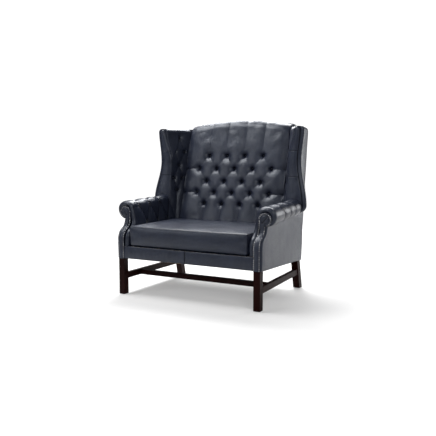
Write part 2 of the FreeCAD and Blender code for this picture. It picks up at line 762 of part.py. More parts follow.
def inside_back(rail, piping):
    """The buttoned pad with its pleated crest."""
    sections = [back_section(z, phase, rise) for z, phase, rise in back_levels()]
    flat_core = crest_axis_y() - frame_front_y(CREST_AXIS_Z) + WEBBING_THICKNESS
    lower = loft(sections + [crest_section(0.0, flat_core)])
    angles = [math.radians(angle) for angle in CREST_ANGLES]
    roll = loft([crest_section(angle, CREST_CORE) for angle in angles])
    return lower.fuse(roll).cut(rail).cut(behind_back()).cut(piping)


def crest_piping():
    """The corded seam along the back's top edge."""
    radius = CREST_RADIUS - PIPING_RADIUS
    centre = V(0, crest_axis_y() + COVER / 2, CREST_Z - CREST_RADIUS)
    half = math.degrees(math.asin(BACK_HALF_WIDTH / CREST_RADIUS))
    circle = Part.Face(Part.Wire([Part.makeCircle(PIPING_RADIUS, centre + V(0, 0, radius), V(1, 0, 0))]))
    circle.rotate(centre, V(0, 1, 0), -half)
    return circle.revolve(centre, V(0, 1, 0), 2 * half)


def post_inner_x(z):
    return rear_post_outer_x(z) - REAR_LEG


def back_rail(z0, height):
    """A cross rail whose ends meet the leaning posts."""
    wires = []
    for z in (z0, z0 + height):
        half = post_inner_x(z)
        front, rear = frame_front_y(z), frame_rear_y(z)
        wires.append(polygon([V(-half, front, z), V(half, front, z), V(half, rear, z), V(-half, rear, z)]))
    return loft(wires)


def top_rail_z():
    return CREST_AXIS_Z + TOP_RAIL_CAP - TOP_RAIL_HEIGHT


def crest_rail():
    return back_rail(top_rail_z(), TOP_RAIL_HEIGHT)


def back_low_rail():
    return back_rail(REAR_FACE_KNEE_Z, LOW_RAIL_HEIGHT)


def back_webbing():
    """Straps down the front of the back frame, tacked to both rails."""
    z0, z1 = REAR_FACE_KNEE_Z, CREST_AXIS_Z
    spacing = 2 * (BACK_HALF_WIDTH - WEBBING_SIDE_GAP) / (WEBBING_COUNT - 1)
    straps = []
    for index in range(WEBBING_COUNT):
        x = (index - (WEBBING_COUNT - 1) / 2) * spacing
        points = [(frame_front_y(z0), z0), (frame_front_y(z1), z1),
                  (frame_front_y(z1) - WEBBING_THICKNESS, z1), (frame_front_y(z0) - WEBBING_THICKNESS, z0)]
        straps.append(side_prism(points, x - WEBBING_WIDTH / 2, x + WEBBING_WIDTH / 2))
    return straps


def outside_back():
    """The plain leather panel behind, arched at the top."""
    low_half, high_half = panel_x(REAR_FACE_KNEE_Y), rear_corner_x() + COVER
    wing_z, arch_x, drop = WING_TOP - COVER, BACK_HALF_WIDTH, 2 * PIPING_RADIUS
    places = [(-low_half, REAR_CLEARANCE), (low_half, REAR_CLEARANCE), (low_half, REAR_FACE_KNEE_Z),
              (high_half, wing_z - WING_CAP), (high_half - WING_CAP, wing_z), (arch_x, wing_z),
              (arch_x, crest_z(arch_x) - drop)]
    points = [V(x, 0, z) for x, z in places]
    edges = [line(a, b) for a, b in zip(points, points[1:])]
    left = [V(-p.x, p.y, p.z) for p in points[1:]]
    edges += [line(a, b) for a, b in zip(left, left[1:])]
    edges.append(Part.Arc(points[-1], V(0, 0, CREST_Z - drop), left[-1]).toShape())
    face = Part.Face(Part.Wire(Part.__sortEdges__(edges)))
    silhouette = face.extrude(V(0, rear_face_y(CREST_Z) + BEYOND, 0))
    z0, knee, z1 = REAR_CLEARANCE, REAR_FACE_KNEE_Z, CREST_Z
    slab = side_prism([(frame_rear_y(z0), z0), (rear_face_y(z0), z0), (rear_face_y(knee), knee),
                       (rear_face_y(z1), z1), (frame_rear_y(z1), z1), (frame_rear_y(knee), knee)],
                      -REAR_SPAN, REAR_SPAN)
    return silhouette.common(slab)


def button(place, direction):
    """A covered button standing on a place and facing a direction."""
    return Part.makeCone(BUTTON_RADIUS, BUTTON_TOP_RADIUS, BUTTON_HEIGHT, place, direction)


def back_buttons():
    facing = V(0, -1, BUTTON_FACE_SLOPE)
    buttons = []
    for index, z in enumerate(BACK_ROWS):
        count = 5 if index % 2 else 4
        for place in range(count):
            x = (place - (count - 1) / 2) * BUTTON_PITCH
            buttons.append(button(V(x, button_face_y(z), z), facing))
    return buttons


# Arms, drawn for the right side

def roll_centre_z(y):
    return mix(ROLL_Z_FRONT, ROLL_Z_REAR, (y - ARM_FRONT_Y) / (ARM_END_Y - ARM_FRONT_Y))


def roll_radius(y):
    return mix(ROLL_RADIUS_FRONT, ROLL_RADIUS_REAR, (y - ARM_FRONT_Y) / (ARM_END_Y - ARM_FRONT_Y))


def arm_section(y, phase):
    """One slice across the arm. In phase 0 the upper button draws it in, in phase 1 the lower one."""
    station = max(y, ARM_FRONT_Y)
    centre = roll_centre_z(station)
    radius = roll_radius(station) - ARM_PLEAT * (1 - phase)
    half = DIMPLE / 2
    low = ARM_ROW_LOW - half
    low_x, high_x = ARM_LOW_BUTTON_X, ARM_HIGH_BUTTON_X
    top, bottom = centre + radius, centre - radius
    first = (mix(ARM_FOOT_X - ARM_PUFF / 4, low_x, phase), mix(SEAT_TOP + ARM_FOOT_PUFF, low, phase))
    second = (mix(high_x, low_x, phase), mix(ARM_ROW_HIGH - half, ARM_ROW_LOW + half, phase))
    third = (mix(high_x, high_x - half, phase), mix(ARM_ROW_HIGH + half, top - ARM_SHOULDER_DROP, phase))
    corners = [(ARM_FOOT_X, SEAT_TOP), first, second, third, (ROLL_X, top), (ROLL_X + radius, centre),
               (ROLL_X, bottom), (ARM_BASE_X, bottom), (ARM_BASE_X, SEAT_TOP)]
    low_swell = ARM_PUFF * 0.8 * math.cos(phase * math.pi / 2)
    high_swell = ARM_PUFF * math.sin(phase * math.pi / 2)
    round_off = radius * (math.sqrt(0.5) - 0.5)
    pushes = [V(-mix(ARM_PUFF / 6, ARM_PUFF / 2, phase), 0, 0), V(-low_swell, 0, 0), V(-high_swell, 0, 0),
              V(-0.5, 0, 0.8) * (ARM_PUFF * mix(0.6, 0.2, phase)), V(round_off, 0, round_off),
              V(round_off, 0, -round_off), V(0, 0, 0), V(0, 0, 0), V(0, 0, 0)]
    return outline([V(x, y, z) for x, z in corners], pushes)


def arm_button_ys():
    high = [ARM_BUTTON_FIRST_Y + ARM_BUTTON_PITCH * index for index in range(ARM_BUTTON_COUNT)]
    low = [y + ARM_BUTTON_PITCH / 2 for y in high]
    return high, low


def arm_form():
    """The buttoned inside arm with its rolled top, before its front is shaped."""
    high, low = arm_button_ys()
    stations = [(0.0, 0.6), (ARM_FRONT_Y, 0.6)]
    for y_high, y_low in zip(high, low):
        stations += [(y_high, 0.0), ((y_high + y_low) / 2, 0.5), (y_low, 1.0)]
        stations.append((y_low + ARM_BUTTON_PITCH / 4, 0.5))
    stations[-1] = (ARM_END_Y, 0.5)
    return loft([arm_section(y, phase) for y, phase in stations])


def before_arm():
    """Everything in front of an arm's S-shaped front."""
    z0, z1 = FRONT_CLEARANCE - BEYOND, ROLL_Z_REAR + BEYOND
    return front_slab(-REAR_SPAN, REAR_SPAN, -BEYOND, 0.0, z0, z1)


def inside_arm(post, rail):
    return arm_form().cut(before_arm()).cut(post).cut(rail)


def above_arm_rail():
    z0 = ARM_RAIL_TOP - ARM_RAIL_HEIGHT
    return box(0, REAR_SPAN, 0, REAR_SPAN, z0, z0 + REAR_SPAN)


def arm_front_post():
    """The board behind the arm's front, from the leg up to the arm rail."""
    inner, outer = FACING_INNER_X + ARM_BOARD_GAP, FACING_OUTER_X - ARM_BOARD_GAP
    d0, d1 = ARM_POST_SETBACK, ARM_POST_SETBACK + ARM_POST_DEPTH
    return front_slab(inner, outer, d0, d1, RAIL_TOP, ROLL_Z_FRONT).cut(above_arm_rail())


def arm_rail():
    """The rail inside the roll, from the front post to the back post."""
    y0 = ARM_FRONT_Y + ARM_POST_SETBACK
    y1 = frame_front_y(ARM_RAIL_TOP - ARM_RAIL_HEIGHT)
    inner = ARM_BASE_X + ARM_BOARD_GAP
    front, rear = panel_x(y0) - COVER - PANEL_GAP, panel_x(y1) - COVER - PANEL_GAP
    points = [(inner, y0), (front, y0), (rear, y1), (inner, y1)]
    return plan_prism(points, ARM_RAIL_TOP - ARM_RAIL_HEIGHT, ARM_RAIL_TOP)


def outside_arm():
    """The plain leather panel outside the arm, up to the roll and the wing."""
    roll_front = ROLL_Z_FRONT - ROLL_RADIUS_FRONT
    roll_rear = ROLL_Z_REAR - ROLL_RADIUS_REAR
    knee = REAR_FACE_KNEE_Z
    top = WING_SKIRT_Z
    front = front_edges(0.0, FRONT_CLEARANCE, roll_front)
    rest = [(ARM_FRONT_Y, roll_front), (ARM_END_Y, roll_rear), (ARM_END_Y, top), (frame_rear_y(top), top),
            (frame_rear_y(knee), knee), (REAR_FACE_LOW_Y - COVER, REAR_CLEARANCE), (0.0, FRONT_CLEARANCE)]
    rest = [V(0, y, z) for y, z in rest]
    edges = front + [line(a, b) for a, b in zip(rest, rest[1:])]
    face = Part.Face(Part.Wire(Part.__sortEdges__(edges)))
    silhouette = face.extrude(V(REAR_SPAN, 0, 0))
    y1 = rear_face_y(top)
    x0, x1 = panel_x(0), panel_x(y1)
    sheet = plan_prism([(x0 - COVER, 0), (x0, 0), (x1, y1), (x1 - COVER, y1)], 0, top)
    wrap = front_slab(FACING_OUTER_X, x0 - COVER / 2, 0.0, ARM_POST_SETBACK, FRONT_CLEARANCE, roll_front)
    return silhouette.common(sheet).fuse(wrap.common(silhouette)).removeSplitter()


def arm_facing():
    """The nailed panel on the arm's front: an upright strip with a round head."""
    reach = ARM_FRONT_Y + BEYOND
    stem = box(FACING_INNER_X, FACING_OUTER_X, -reach, reach, FRONT_CLEARANCE, FACING_HEAD_Z)
    head = Part.makeCylinder(FACING_HEAD_RADIUS, 2 * reach, V(FACING_HEAD_X, -reach, FACING_HEAD_Z), V(0, 1, 0))
    top = FACING_HEAD_Z + FACING_HEAD_RADIUS + COVER
    slab = front_slab(0.0, REAR_SPAN, -COVER, 0.0, FRONT_CLEARANCE, top)
    return slab.common(stem.fuse(head)).removeSplitter()


def facing_filler():
    """The wadding behind the facing, in front of the leg and post."""
    inner, outer = FACING_INNER_X + ARM_BOARD_GAP, FACING_OUTER_X - ARM_BOARD_GAP
    slab = front_slab(inner, outer, 0.0, ARM_POST_SETBACK, RAIL_TOP, ROLL_Z_FRONT)
    return slab.cut(above_arm_rail())


def arm_buttons():
    high, low = arm_button_ys()
    buttons = [button(V(ARM_HIGH_BUTTON_X, y, ARM_ROW_HIGH), V(-1, 0, HIGH_BUTTON_TILT)) for y in high]
    buttons += [button(V(ARM_LOW_BUTTON_X, y, ARM_ROW_LOW), V(-1, 0, 0)) for y in low if y < ARM_END_Y]
    return buttons


def facing_nails():
    """Close-set nails up both edges of the facing and round its head."""
    inner, outer = FACING_INNER_X + NAIL_MARGIN, FACING_OUTER_X - NAIL_MARGIN
    radius = FACING_HEAD_RADIUS - NAIL_MARGIN
    places = []
    count = int((FACING_HEAD_Z - FRONT_CLEARANCE - 2 * NAIL_MARGIN) / NAIL_PITCH)
    for index in range(count + 1):
        z = FRONT_CLEARANCE + NAIL_MARGIN + index * NAIL_PITCH
        places.append((inner, z))
        if z < FACING_HEAD_Z - radius:
            places.append((outer, z))
    across = int((outer - inner) / NAIL_PITCH)
    for index in range(1, across + 1):
        places.append((inner + (outer - inner) * index / (across + 1), FRONT_CLEARANCE + NAIL_MARGIN))
    turns = int(NAIL_ARC * radius / NAIL_PITCH)
    for index in range(turns + 1):
        angle = math.pi - NAIL_ARC * (index + 0.6) / turns
        places.append((FACING_HEAD_X + radius * math.cos(angle), FACING_HEAD_Z + radius * math.sin(angle)))
    nails = []
    for x, z in places:
        y, lean = front_face_at(z)
        facing = V(0, -math.cos(lean), math.sin(lean))
        nails.append(Part.makeCone(NAIL_RADIUS, NAIL_TOP_RADIUS, NAIL_HEIGHT, V(x, y - COVER, z), facing))
    return nails


# Wings, drawn for the right side

def wing_outer(z):
    """The outer front edge of the wing's border."""
    foot = ease((WING_WAIST_Z - z) / WING_FOOT_SPAN)
    head = ease((z - WING_WAIST_Z) / (WING_TOP - WING_WAIST_Z))
    x = WING_WAIST_X + WING_FOOT_FLARE * foot + WING_HEAD_FLARE * head
    y = WING_FRONT_Y - WING_FOOT_FORWARD * foot
    return x, y


def wing_inner_x(z):
    """The inner edge of the wing's border."""
    head = ease((z - WING_WAIST_Z) / (WING_TOP - WING_WAIST_Z))
    waist = WING_WAIST_X - WING_BORDER_WIDTH
    return waist + (WING_HEAD_FLARE + WING_HEAD_NARROWING) * head


def border_rear_y(z):
    return wing_outer(z)[1] + WING_BORDER_DEPTH


def board_corners(z):
    """The wing board in plan: inner front, outer front, outer rear, inner rear."""
    front_y, rear_y = border_rear_y(z), frame_front_y(z)
    front_x = wing_inner_x(z) + WING_BOARD_INSET
    rear_x = min(post_inner_x(z) + WING_BOARD_INSET, front_x)
    return [(front_x, front_y), (front_x + WING_BOARD, front_y), (rear_x + WING_BOARD, rear_y),
            (rear_x, rear_y)]


def wing_slices():
    """Heights of the wing's slices, with the phase and the depth of its tufting."""
    flat = WING_PUFF * 0.4
    slices = [(WING_FOOT_Z, 0.5, flat), ((WING_FOOT_Z + WING_ROWS[0]) / 2, 0.3, WING_PUFF * 0.6)]
    for index, z in enumerate(WING_ROWS):
        slices.append((z, float(index % 2), WING_PUFF))
        if index < len(WING_ROWS) - 1:
            slices.append(((z + WING_ROWS[index + 1]) / 2, 0.5, WING_PUFF * 0.6))
    slices.append((post_top(), 0.5, flat))
    return slices


def wing_levels():
    return [z for z, phase, depth in wing_slices()]


def wing_frame():
    """The shaped board that stiffens the wing, standing on the arm rail."""
    return loft([flat_section(board_corners(z), z) for z in wing_levels()])


def wing_upright():
    """The short post under the wing board."""
    inner_front, outer_front, outer_rear, inner_rear = board_corners(WING_FOOT_Z)
    outer = min(outer_front[0], panel_x(inner_front[1]) - COVER - PANEL_GAP)
    points = [inner_front, (outer, inner_front[1]), (outer, inner_front[1] + 2 * WING_BOARD),
              (inner_front[0], inner_front[1] + 2 * WING_BOARD)]
    return plan_prism(points, ARM_RAIL_TOP, WING_FOOT_Z)


def border_section(z):
    (outer_x, outer_y), inner_x, rear_y = wing_outer(z), wing_inner_x(z), border_rear_y(z)
    corners = [(inner_x, outer_y + WING_BORDER_STEP), (outer_x, outer_y), (outer_x, rear_y), (inner_x, rear_y)]
    pushes = [V(0, -WING_BORDER_SWELL, 0), V(0, 0, 0), V(0, 0, 0), V(0, 0, 0)]
    return outline([V(x, y, z) for x, y in corners], pushes)


def wing_side_corners(z):
    """The outer bead and side of the wing in plan, from the border's outer edge to the back post."""
    outer_x, outer_y = wing_outer(z)
    bead = (outer_x + WING_BEAD_STEP, outer_y + WING_BEAD_LENGTH)
    return (outer_x, outer_y), bead, (rear_post_outer_x(z) + COVER, frame_rear_y(z))


def outside_wing_section(z):
    front, bead, rear = wing_side_corners(z)
    board = board_corners(z)
    post_x = rear_post_outer_x(z)
    corners = [front, bead, rear, (post_x, rear[1]), (post_x, frame_front_y(z)), board[2], board[1],
               (front[0], border_rear_y(z))]
    pushes = [V(WING_BEAD_SWELL, 0, 0)] + [V(0, 0, 0)] * 7
    return outline([V(x, y, z) for x, y in corners], pushes)


def skirt_section(z, share):
    """The wing's side below its border, narrowing to the outside arm."""
    front, bead, rear = wing_side_corners(WING_FOOT_Z)
    y0 = front[1]
    flat = [panel_x(y) - COVER for y in (y0, bead[1])]
    front_x, bead_x = mix(flat[0] + 2 * COVER, front[0], share), mix(flat[1] + COVER, bead[0], share)
    rear_y = frame_rear_y(z)
    rear_x = rear_post_outer_x(z)
    corners = [(front_x, y0), (bead_x, bead[1]), (rear_x + COVER, rear_y), (rear_x, rear_y),
               (flat[1] - COVER, bead[1]), (flat[0] - COVER, y0)]
    pushes = [V(WING_BEAD_SWELL * share, 0, 0)] + [V(0, 0, 0)] * 5
    return outline([V(x, y, z) for x, y in corners], pushes)


def outside_wing():
    upper = loft([outside_wing_section(z) for z in wing_levels()])
    drop = WING_FOOT_Z - WING_SKIRT_Z
    skirt = loft([skirt_section(WING_SKIRT_Z + drop * height, share) for height, share in WING_SKIRT_STEPS])
    return upper.fuse(skirt)


def wing_face_points(z):
    """The wing's inner face in plan: where it leaves the border and where it meets the back."""
    return V(wing_inner_x(z), border_rear_y(z), z), V(BACK_HALF_WIDTH, button_face_y(z) - SIDE_FALL, z)


def inside_wing_section(z, phase, depth):
    """One slice of the wing's pad, drawn in at the middle in phase 0 and at two places in phase 1."""
    start, end = wing_face_points(z)
    along = end - start
    length = along.Length
    along.normalize()
    inward = V(-along.y, along.x, 0)
    if inward.x > 0:
        inward = inward * -1
    wide = length / 2 - DIMPLE / 2
    outer_width = mix(wide * WING_OUTER_SHARE, DIMPLE / 2, phase)
    middle = mix(DIMPLE, length * 0.5 - DIMPLE, phase)
    first = (length - middle) / 2 - outer_width
    marks = [0.0, first, first + outer_width, length - first - outer_width, length - first, length]
    drops = [0.0, depth * 0.5, depth, depth, depth * 0.5, 0.0]
    corners = [start + along * mark - inward * drop for mark, drop in zip(marks, drops)]
    side_lift = WING_PUFF * 0.6 * (1 - phase)
    lifts = [WING_PUFF * 0.4, side_lift, WING_PUFF * phase, side_lift, WING_PUFF * 0.4]
    pushes = [inward * lift for lift in lifts]
    board = board_corners(z)
    rear_y = frame_front_y(z)
    corners += [V(BACK_HALF_WIDTH, rear_y, z), V(board[3][0], rear_y, z), V(board[0][0], board[0][1], z)]
    pushes += [V(0, 0, 0)] * 4
    return outline(corners, pushes)


def inside_wing():
    """The buttoned pad inside the wing, with its plain foot behind the arm."""
    upper = loft([inside_wing_section(z, phase, depth) for z, phase, depth in wing_slices()])
    lower = loft([wing_foot_section(z) for z in (SEAT_TOP, REAR_FACE_KNEE_Z, BACK_UPRIGHT_Z, WING_FOOT_Z)])
    return upper.fuse(lower)


def wing_foot_section(z):
    face_y = button_face_y(z) - SIDE_FALL
    rear = frame_front_y(z)
    inner = ARM_FOOT_X - ARM_PUFF / 4
    points = [(inner, ARM_END_Y), (inner, face_y - DIMPLE), (BACK_HALF_WIDTH, face_y),
              (BACK_HALF_WIDTH, rear), (ARM_BASE_X, rear), (ARM_BASE_X, ARM_END_Y)]
    return flat_section(points, z)


def wing_cap_section(z, draw):
    """The wing's whole plan, drawn in towards its middle by a share."""
    (outer_x, outer_y), inner_x = wing_outer(z), wing_inner_x(z)
    front, bead, rear = wing_side_corners(z)
    start, end = wing_face_points(z)
    corners = [V(inner_x, outer_y + WING_BORDER_STEP, z), V(outer_x, outer_y, z), V(bead[0], bead[1], z),
               V(rear[0], rear[1], z), V(BACK_HALF_WIDTH, rear[1], z), end]
    count = len(corners)
    middle = V(sum(corner.x for corner in corners) / count, sum(corner.y for corner in corners) / count, z)
    corners = [corner + (middle - corner) * draw for corner in corners]
    pushes = [V(0, -WING_BORDER_SWELL, 0), V(WING_BEAD_SWELL, 0, 0)] + [V(0, 0, 0)] * 4
    return outline(corners, pushes)


def wing_border():
    """The smooth strip up the wing's front and its rounded top."""
    strip = loft([border_section(z) for z in wing_levels()])
    cap = loft([wing_cap_section(post_top() + WING_CAP * height, draw) for height, draw in WING_CAP_STEPS])
    return strip.fuse(cap.cut(behind_back()))


def wing_buttons():
    buttons = []
    for index, z in enumerate(WING_ROWS):
        start, end = wing_face_points(z)
        along = end - start
        length = along.Length
        along.normalize()
        outward = V(along.y, -along.x, 0)
        if outward.x < 0:
            outward = outward * -1
        quarter = (length * 0.5 - DIMPLE) / 2
        offsets = (-quarter, quarter) if index % 2 else (0.0,)
        for offset in offsets:
            place = start + along * (length / 2 + offset) + outward * WING_PUFF
            buttons.append(button(place, outward * -1))
    return buttons


# Assembly

def both_sides(name, shapes):
    """A right piece and its mirrored left piece."""
    shapes = shapes if isinstance(shapes, list) else [shapes]
    return {name + "_right": shapes, name + "_left": [mirror(shape) for shape in shapes]}


def build():
    rail, piping = crest_rail(), crest_piping()
    post, top = arm_front_post(), arm_rail()
    core, zip_strip = cushion_form(CUSHION_COVER), cushion_zip()
    nodes = {
        "cross_stretcher": [cross_stretcher(side_stretcher())],
        "foot_glides": foot_glides(),
        "front_seat_rail": [front_seat_rail()],
        "back_seat_rail": [back_seat_rail()],
        "corner_blocks": corner_blocks(),
        "seat_springs": seat_springs(),
        "spring_clips": spring_clips(),
        "seat_deck": [seat_deck(post)],
        "deck_edge_roll": [deck_edge_roll()],
        "dust_cover": [dust_cover()],
        "seat_cushion_core": [core],
        "seat_cushion_cover": [seat_cushion_cover(core, zip_strip)],
        "cushion_zip": [zip_strip],
        "crest_rail": [rail],
        "back_low_rail": [back_low_rail()],
        "back_webbing": back_webbing(),
        "inside_back": [inside_back(rail, piping)],
        "outside_back": [outside_back()],
        "crest_piping": [piping],
        "back_buttons": back_buttons(),
    }
    pairs = {
        "front_leg": front_leg(),
        "rear_leg": rear_leg(),
        "side_stretcher": side_stretcher(),
        "side_seat_rail": side_seat_rail(),
        "front_border": front_border(),
        "arm_front_post": post,
        "arm_rail": top,
        "facing_filler": facing_filler(),
        "inside_arm": inside_arm(post, top),
        "outside_arm": outside_arm(),
        "arm_facing": arm_facing(),
        "arm_buttons": arm_buttons(),
        "facing_nails": facing_nails(),
        "wing_frame": wing_frame(),
        "wing_upright": wing_upright(),
        "wing_border": wing_border(),
        "outside_wing": outside_wing(),
        "inside_wing": inside_wing(),
        "wing_buttons": wing_buttons(),
    }
    for name, shapes in pairs.items():
        nodes.update(both_sides(name, shapes))
    return nodes


def main():
    os.makedirs(OUT, exist_ok=True)
    nodes = build()
    whole = FreeCAD.BoundBox()
    for shapes in nodes.values():
        for shape in shapes:
            whole.add(shape.BoundBox)
    shift = V(0, -(whole.YMin + whole.YMax) / 2, 0)
    print("footprint", whole.XMin, whole.XMax, whole.YMin, whole.YMax, "height", whole.ZMin, whole.ZMax)
    for name, shapes in sorted(nodes.items()):
        solids = [solid for shape in shapes for solid in shape.Solids]
        for solid in solids:
            solid.translate(shift)
        shape = solids[0] if len(solids) == 1 else Part.makeCompound(solids)
        state = "valid" if shape.isValid() else "INVALID"
        print(name, len(solids), "solids", round(shape.Volume / 1000.0), "cm3", state)
        shape.exportStep(os.path.join(OUT, name + ".step"))


main()
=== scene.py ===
"""Looks of the high back settee: buttoned leather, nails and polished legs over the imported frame.

Shapes are laid out in millimetres from the front faces of the front legs, with x to the right, y to the back
and z up, and world() turns them into the frame's metres. Paired pieces are drawn on the right and mirrored.
"""

import math

import bpy
import numpy as np
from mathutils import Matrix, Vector

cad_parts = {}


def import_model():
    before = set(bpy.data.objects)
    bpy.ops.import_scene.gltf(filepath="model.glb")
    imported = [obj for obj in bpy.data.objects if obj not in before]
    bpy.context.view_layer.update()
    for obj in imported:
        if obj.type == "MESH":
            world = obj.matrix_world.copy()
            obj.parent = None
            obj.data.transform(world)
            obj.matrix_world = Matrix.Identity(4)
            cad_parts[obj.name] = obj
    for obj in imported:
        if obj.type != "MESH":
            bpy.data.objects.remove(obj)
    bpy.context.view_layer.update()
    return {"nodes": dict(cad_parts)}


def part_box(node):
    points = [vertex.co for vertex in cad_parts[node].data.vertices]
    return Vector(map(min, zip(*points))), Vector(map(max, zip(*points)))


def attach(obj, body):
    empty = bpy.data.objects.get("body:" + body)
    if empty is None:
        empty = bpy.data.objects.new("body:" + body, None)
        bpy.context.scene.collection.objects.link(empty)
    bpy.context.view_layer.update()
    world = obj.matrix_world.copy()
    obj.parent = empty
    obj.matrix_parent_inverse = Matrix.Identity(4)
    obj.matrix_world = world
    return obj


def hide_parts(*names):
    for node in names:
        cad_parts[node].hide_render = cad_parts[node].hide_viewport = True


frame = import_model()

MM = 0.001
FRAME_BODY = "settee_frame"
CUSHION_BODY = "seat_cushion"

# Places read from the frame, in millimetres
LAYOUT_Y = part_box("front_leg_right")[0].y / MM
HALF_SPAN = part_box("front_leg_right")[1].x / MM
SEAT_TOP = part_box("seat_deck")[1].z / MM
FRONT_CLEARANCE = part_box("front_border_right")[0].z / MM
REAR_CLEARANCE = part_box("outside_back")[0].z / MM
CREST_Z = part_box("crest_piping")[1].z / MM
BACK_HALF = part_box("inside_back")[1].x / MM

# Outer faces
COVER = 4.0
REAR_LOW_Y, REAR_KNEE_Y, REAR_SLOPE = 733.0, 750.0, 0.183
REAR_KNEE_Z = SEAT_TOP + 97.0
PANEL_X_FRONT, PANEL_X_REAR = HALF_SPAN + 11.0, HALF_SPAN - 9.0

# Back
BUTTON_FACE_Y, BUTTON_FACE_Z, BUTTON_FACE_SLOPE = 700.0, 760.0, 0.26
BACK_UPRIGHT_Z, BACK_FINE_Z = 470.0, 440.0
BACK_ROWS = (586.0, 667.0, 749.0, 842.0, 935.0)
BUTTON_PITCH = 145.0
BACK_PUFF = 40.0
SIDE_FALL, SIDE_WIDTH = 12.0, 46.0
PLEAT_FAN = 1.01
STRETCH_Z = 1000.0
CREST_RADIUS, CREST_ROLL, CREST_SWELL, CREST_THIN = 1841.0, 80.0, 36.0, 10.0
CREST_AXIS_Z = CREST_Z - 1.2 * CREST_ROLL
BUTTON_RADIUS, BUTTON_HEIGHT = 9.0, 6.0

# Arms, where a path t runs from the deck up the inner face and round the roll
ARM_LOW_X, ARM_HIGH_X = HALF_SPAN - 65.0, HALF_SPAN - 46.0
ARM_CORE_X, ARM_UNDER_X, ARM_CORE_SHARE, ARM_CORE_BACK = 500.0, 486.0, 0.75, 26.0
ARM_INNER_END_Y, ROLL_END_Y, ARM_OUTER_END_Y = 604.0, 560.0, 775.0
ROLL_X = HALF_SPAN + 10.0
ROLL_Z_FRONT, ROLL_Z_REAR = 571.0, 592.0
ROLL_R_FRONT, ROLL_R_REAR = 58.0, 50.0
ARM_FRONT_Y, ARM_END_Y = 79.0, 536.0
LEAN_START_Z, LEAN_END_Z = 381.0, 510.0
ARM_ROW_LOW, ARM_ROW_HIGH = 480.0, 590.0
ARM_LOW_YS = (236.0, 368.0, 500.0)
ARM_HIGH_YS = (170.0, 302.0, 434.0)
ROLL_PLEAT_YS = ((200.0, 252.0, 264.0), (333.0, 356.0, 362.0), (450.0, 446.0, 444.0))
ARM_PUFF, ROLL_PUFF = 21.0, 13.0
ROLL_START, ROLL_TURN = math.radians(161), math.radians(251)
ROLL_PATH = 54.0
ARM_T_LOW = ARM_ROW_LOW - SEAT_TOP
ARM_T_HIGH = ARM_ROW_HIGH - SEAT_TOP
ARM_T_TOP = ARM_T_HIGH + (ROLL_START - math.pi / 2) * ROLL_PATH
ARM_T_SIDE = ARM_T_HIGH + ROLL_START * ROLL_PATH
ARM_T_END = ARM_T_HIGH + ROLL_TURN * ROLL_PATH

# Facings and their nails
FACING_INNER_X, FACING_OUTER_X, FACING_DEPTH = HALF_SPAN - 46.0, HALF_SPAN, 12.0
HEAD_X, HEAD_Z, HEAD_R = HALF_SPAN - 4.0, 553.0, 43.0
NAIL_RADIUS, NAIL_HEIGHT, NAIL_PITCH, NAIL_MARGIN = 4.5, 2.9, 12.0, 5.0
NAIL_ARC = math.radians(235)

# Wings
WING_TOP, WING_CAP = 1135.0, 26.0
WING_FOOT_Z, WING_SKIRT_Z = 606.0, 545.0
WING_WAIST_X, WING_WAIST_Z = HALF_SPAN + 12.0, 900.0
WING_FOOT_FLARE, WING_FOOT_SPAN = 48.0, 300.0
WING_HEAD_FLARE, WING_HEAD_NARROWING = 20.0, 22.0
WING_FRONT_Y, WING_FOOT_FORWARD = 574.0, 24.0
WING_BORDER_WIDTH, WING_BORDER_SWELL, WING_BORDER_STEP = 70.0, 9.0, 8.0
WING_BORDER_FOOT, WING_BORDER_DEPTH = 586.0, 34.0
WING_BEAD_LENGTH, WING_BEAD_SWELL, WING_BEAD_ROLL = 72.0, 13.0, 12.0
WING_ROWS = (682.0, 773.0, 868.0, 966.0, 1072.0)
WING_PUFF, WING_DEPTH = 15.0, 26.0
WING_SPREAD = 0.28
WING_FOLD_END = 110.0
WING_SEAMS = (795.0, 970.0)

# Seat cushion
CUSHION_HEIGHT = 137.0
CUSHION_CROWN, CUSHION_BELLY, CUSHION_BACK = 19.0, 11.0, 3.0
CUSHION_TOP_EDGE, CUSHION_LOW_EDGE = 9.0, 20.0
CUSHION_STEP = 8.0
CUSHION_SIDE_GAP, CUSHION_FRONT_GAP, CUSHION_REAR_GAP, CUSHION_DECK_GAP = 4.0, 7.0, 4.0, 1.0

# Padded skins
CELL = 2.5
RELAX_ROUNDS, RELAX_HASTE = 150, 1.7
FOLD_WIDTH, PLEAT_WIDTH = 0.62, 0.7


# Small tools

def world(points):
    """Layout millimetres to the frame's metres."""
    return (np.asarray(points, float) + (0.0, LAYOUT_Y, 0.0)) * MM


def mirrored(points):
    return np.asarray(points, float) * (-1.0, 1.0, 1.0)


def mix(a, b, t):
    return a + (b - a) * t


def ease(t):
    """0 to 1 with a level start and end."""
    return (1 - np.cos(np.pi * np.clip(t, 0.0, 1.0))) / 2


def hump(distance, width):
    """A smooth bump of height 1 around distance 0."""
    return np.exp(-(distance / width) ** 2)


def rounded(distance, radius):
    """How far a rounded edge has drawn in at a distance from its face."""
    share = np.clip(1 - distance / radius, 0.0, 1.0)
    return radius * (1 - np.sqrt(1 - share ** 2))


def quarter(count):
    """The turns of a quarter circle after its start."""
    return np.linspace(0, math.pi / 2, count)[1:]


def spread(start, stop, step):
    """Even places from start to stop, about a step apart."""
    count = int(round((stop - start) / step)) + 1
    return np.linspace(start, stop, count)


def grid(first, second):
    return np.meshgrid(first, second, indexing="ij")


def xyz(x, y, z):
    return np.stack([x, y, z], -1)


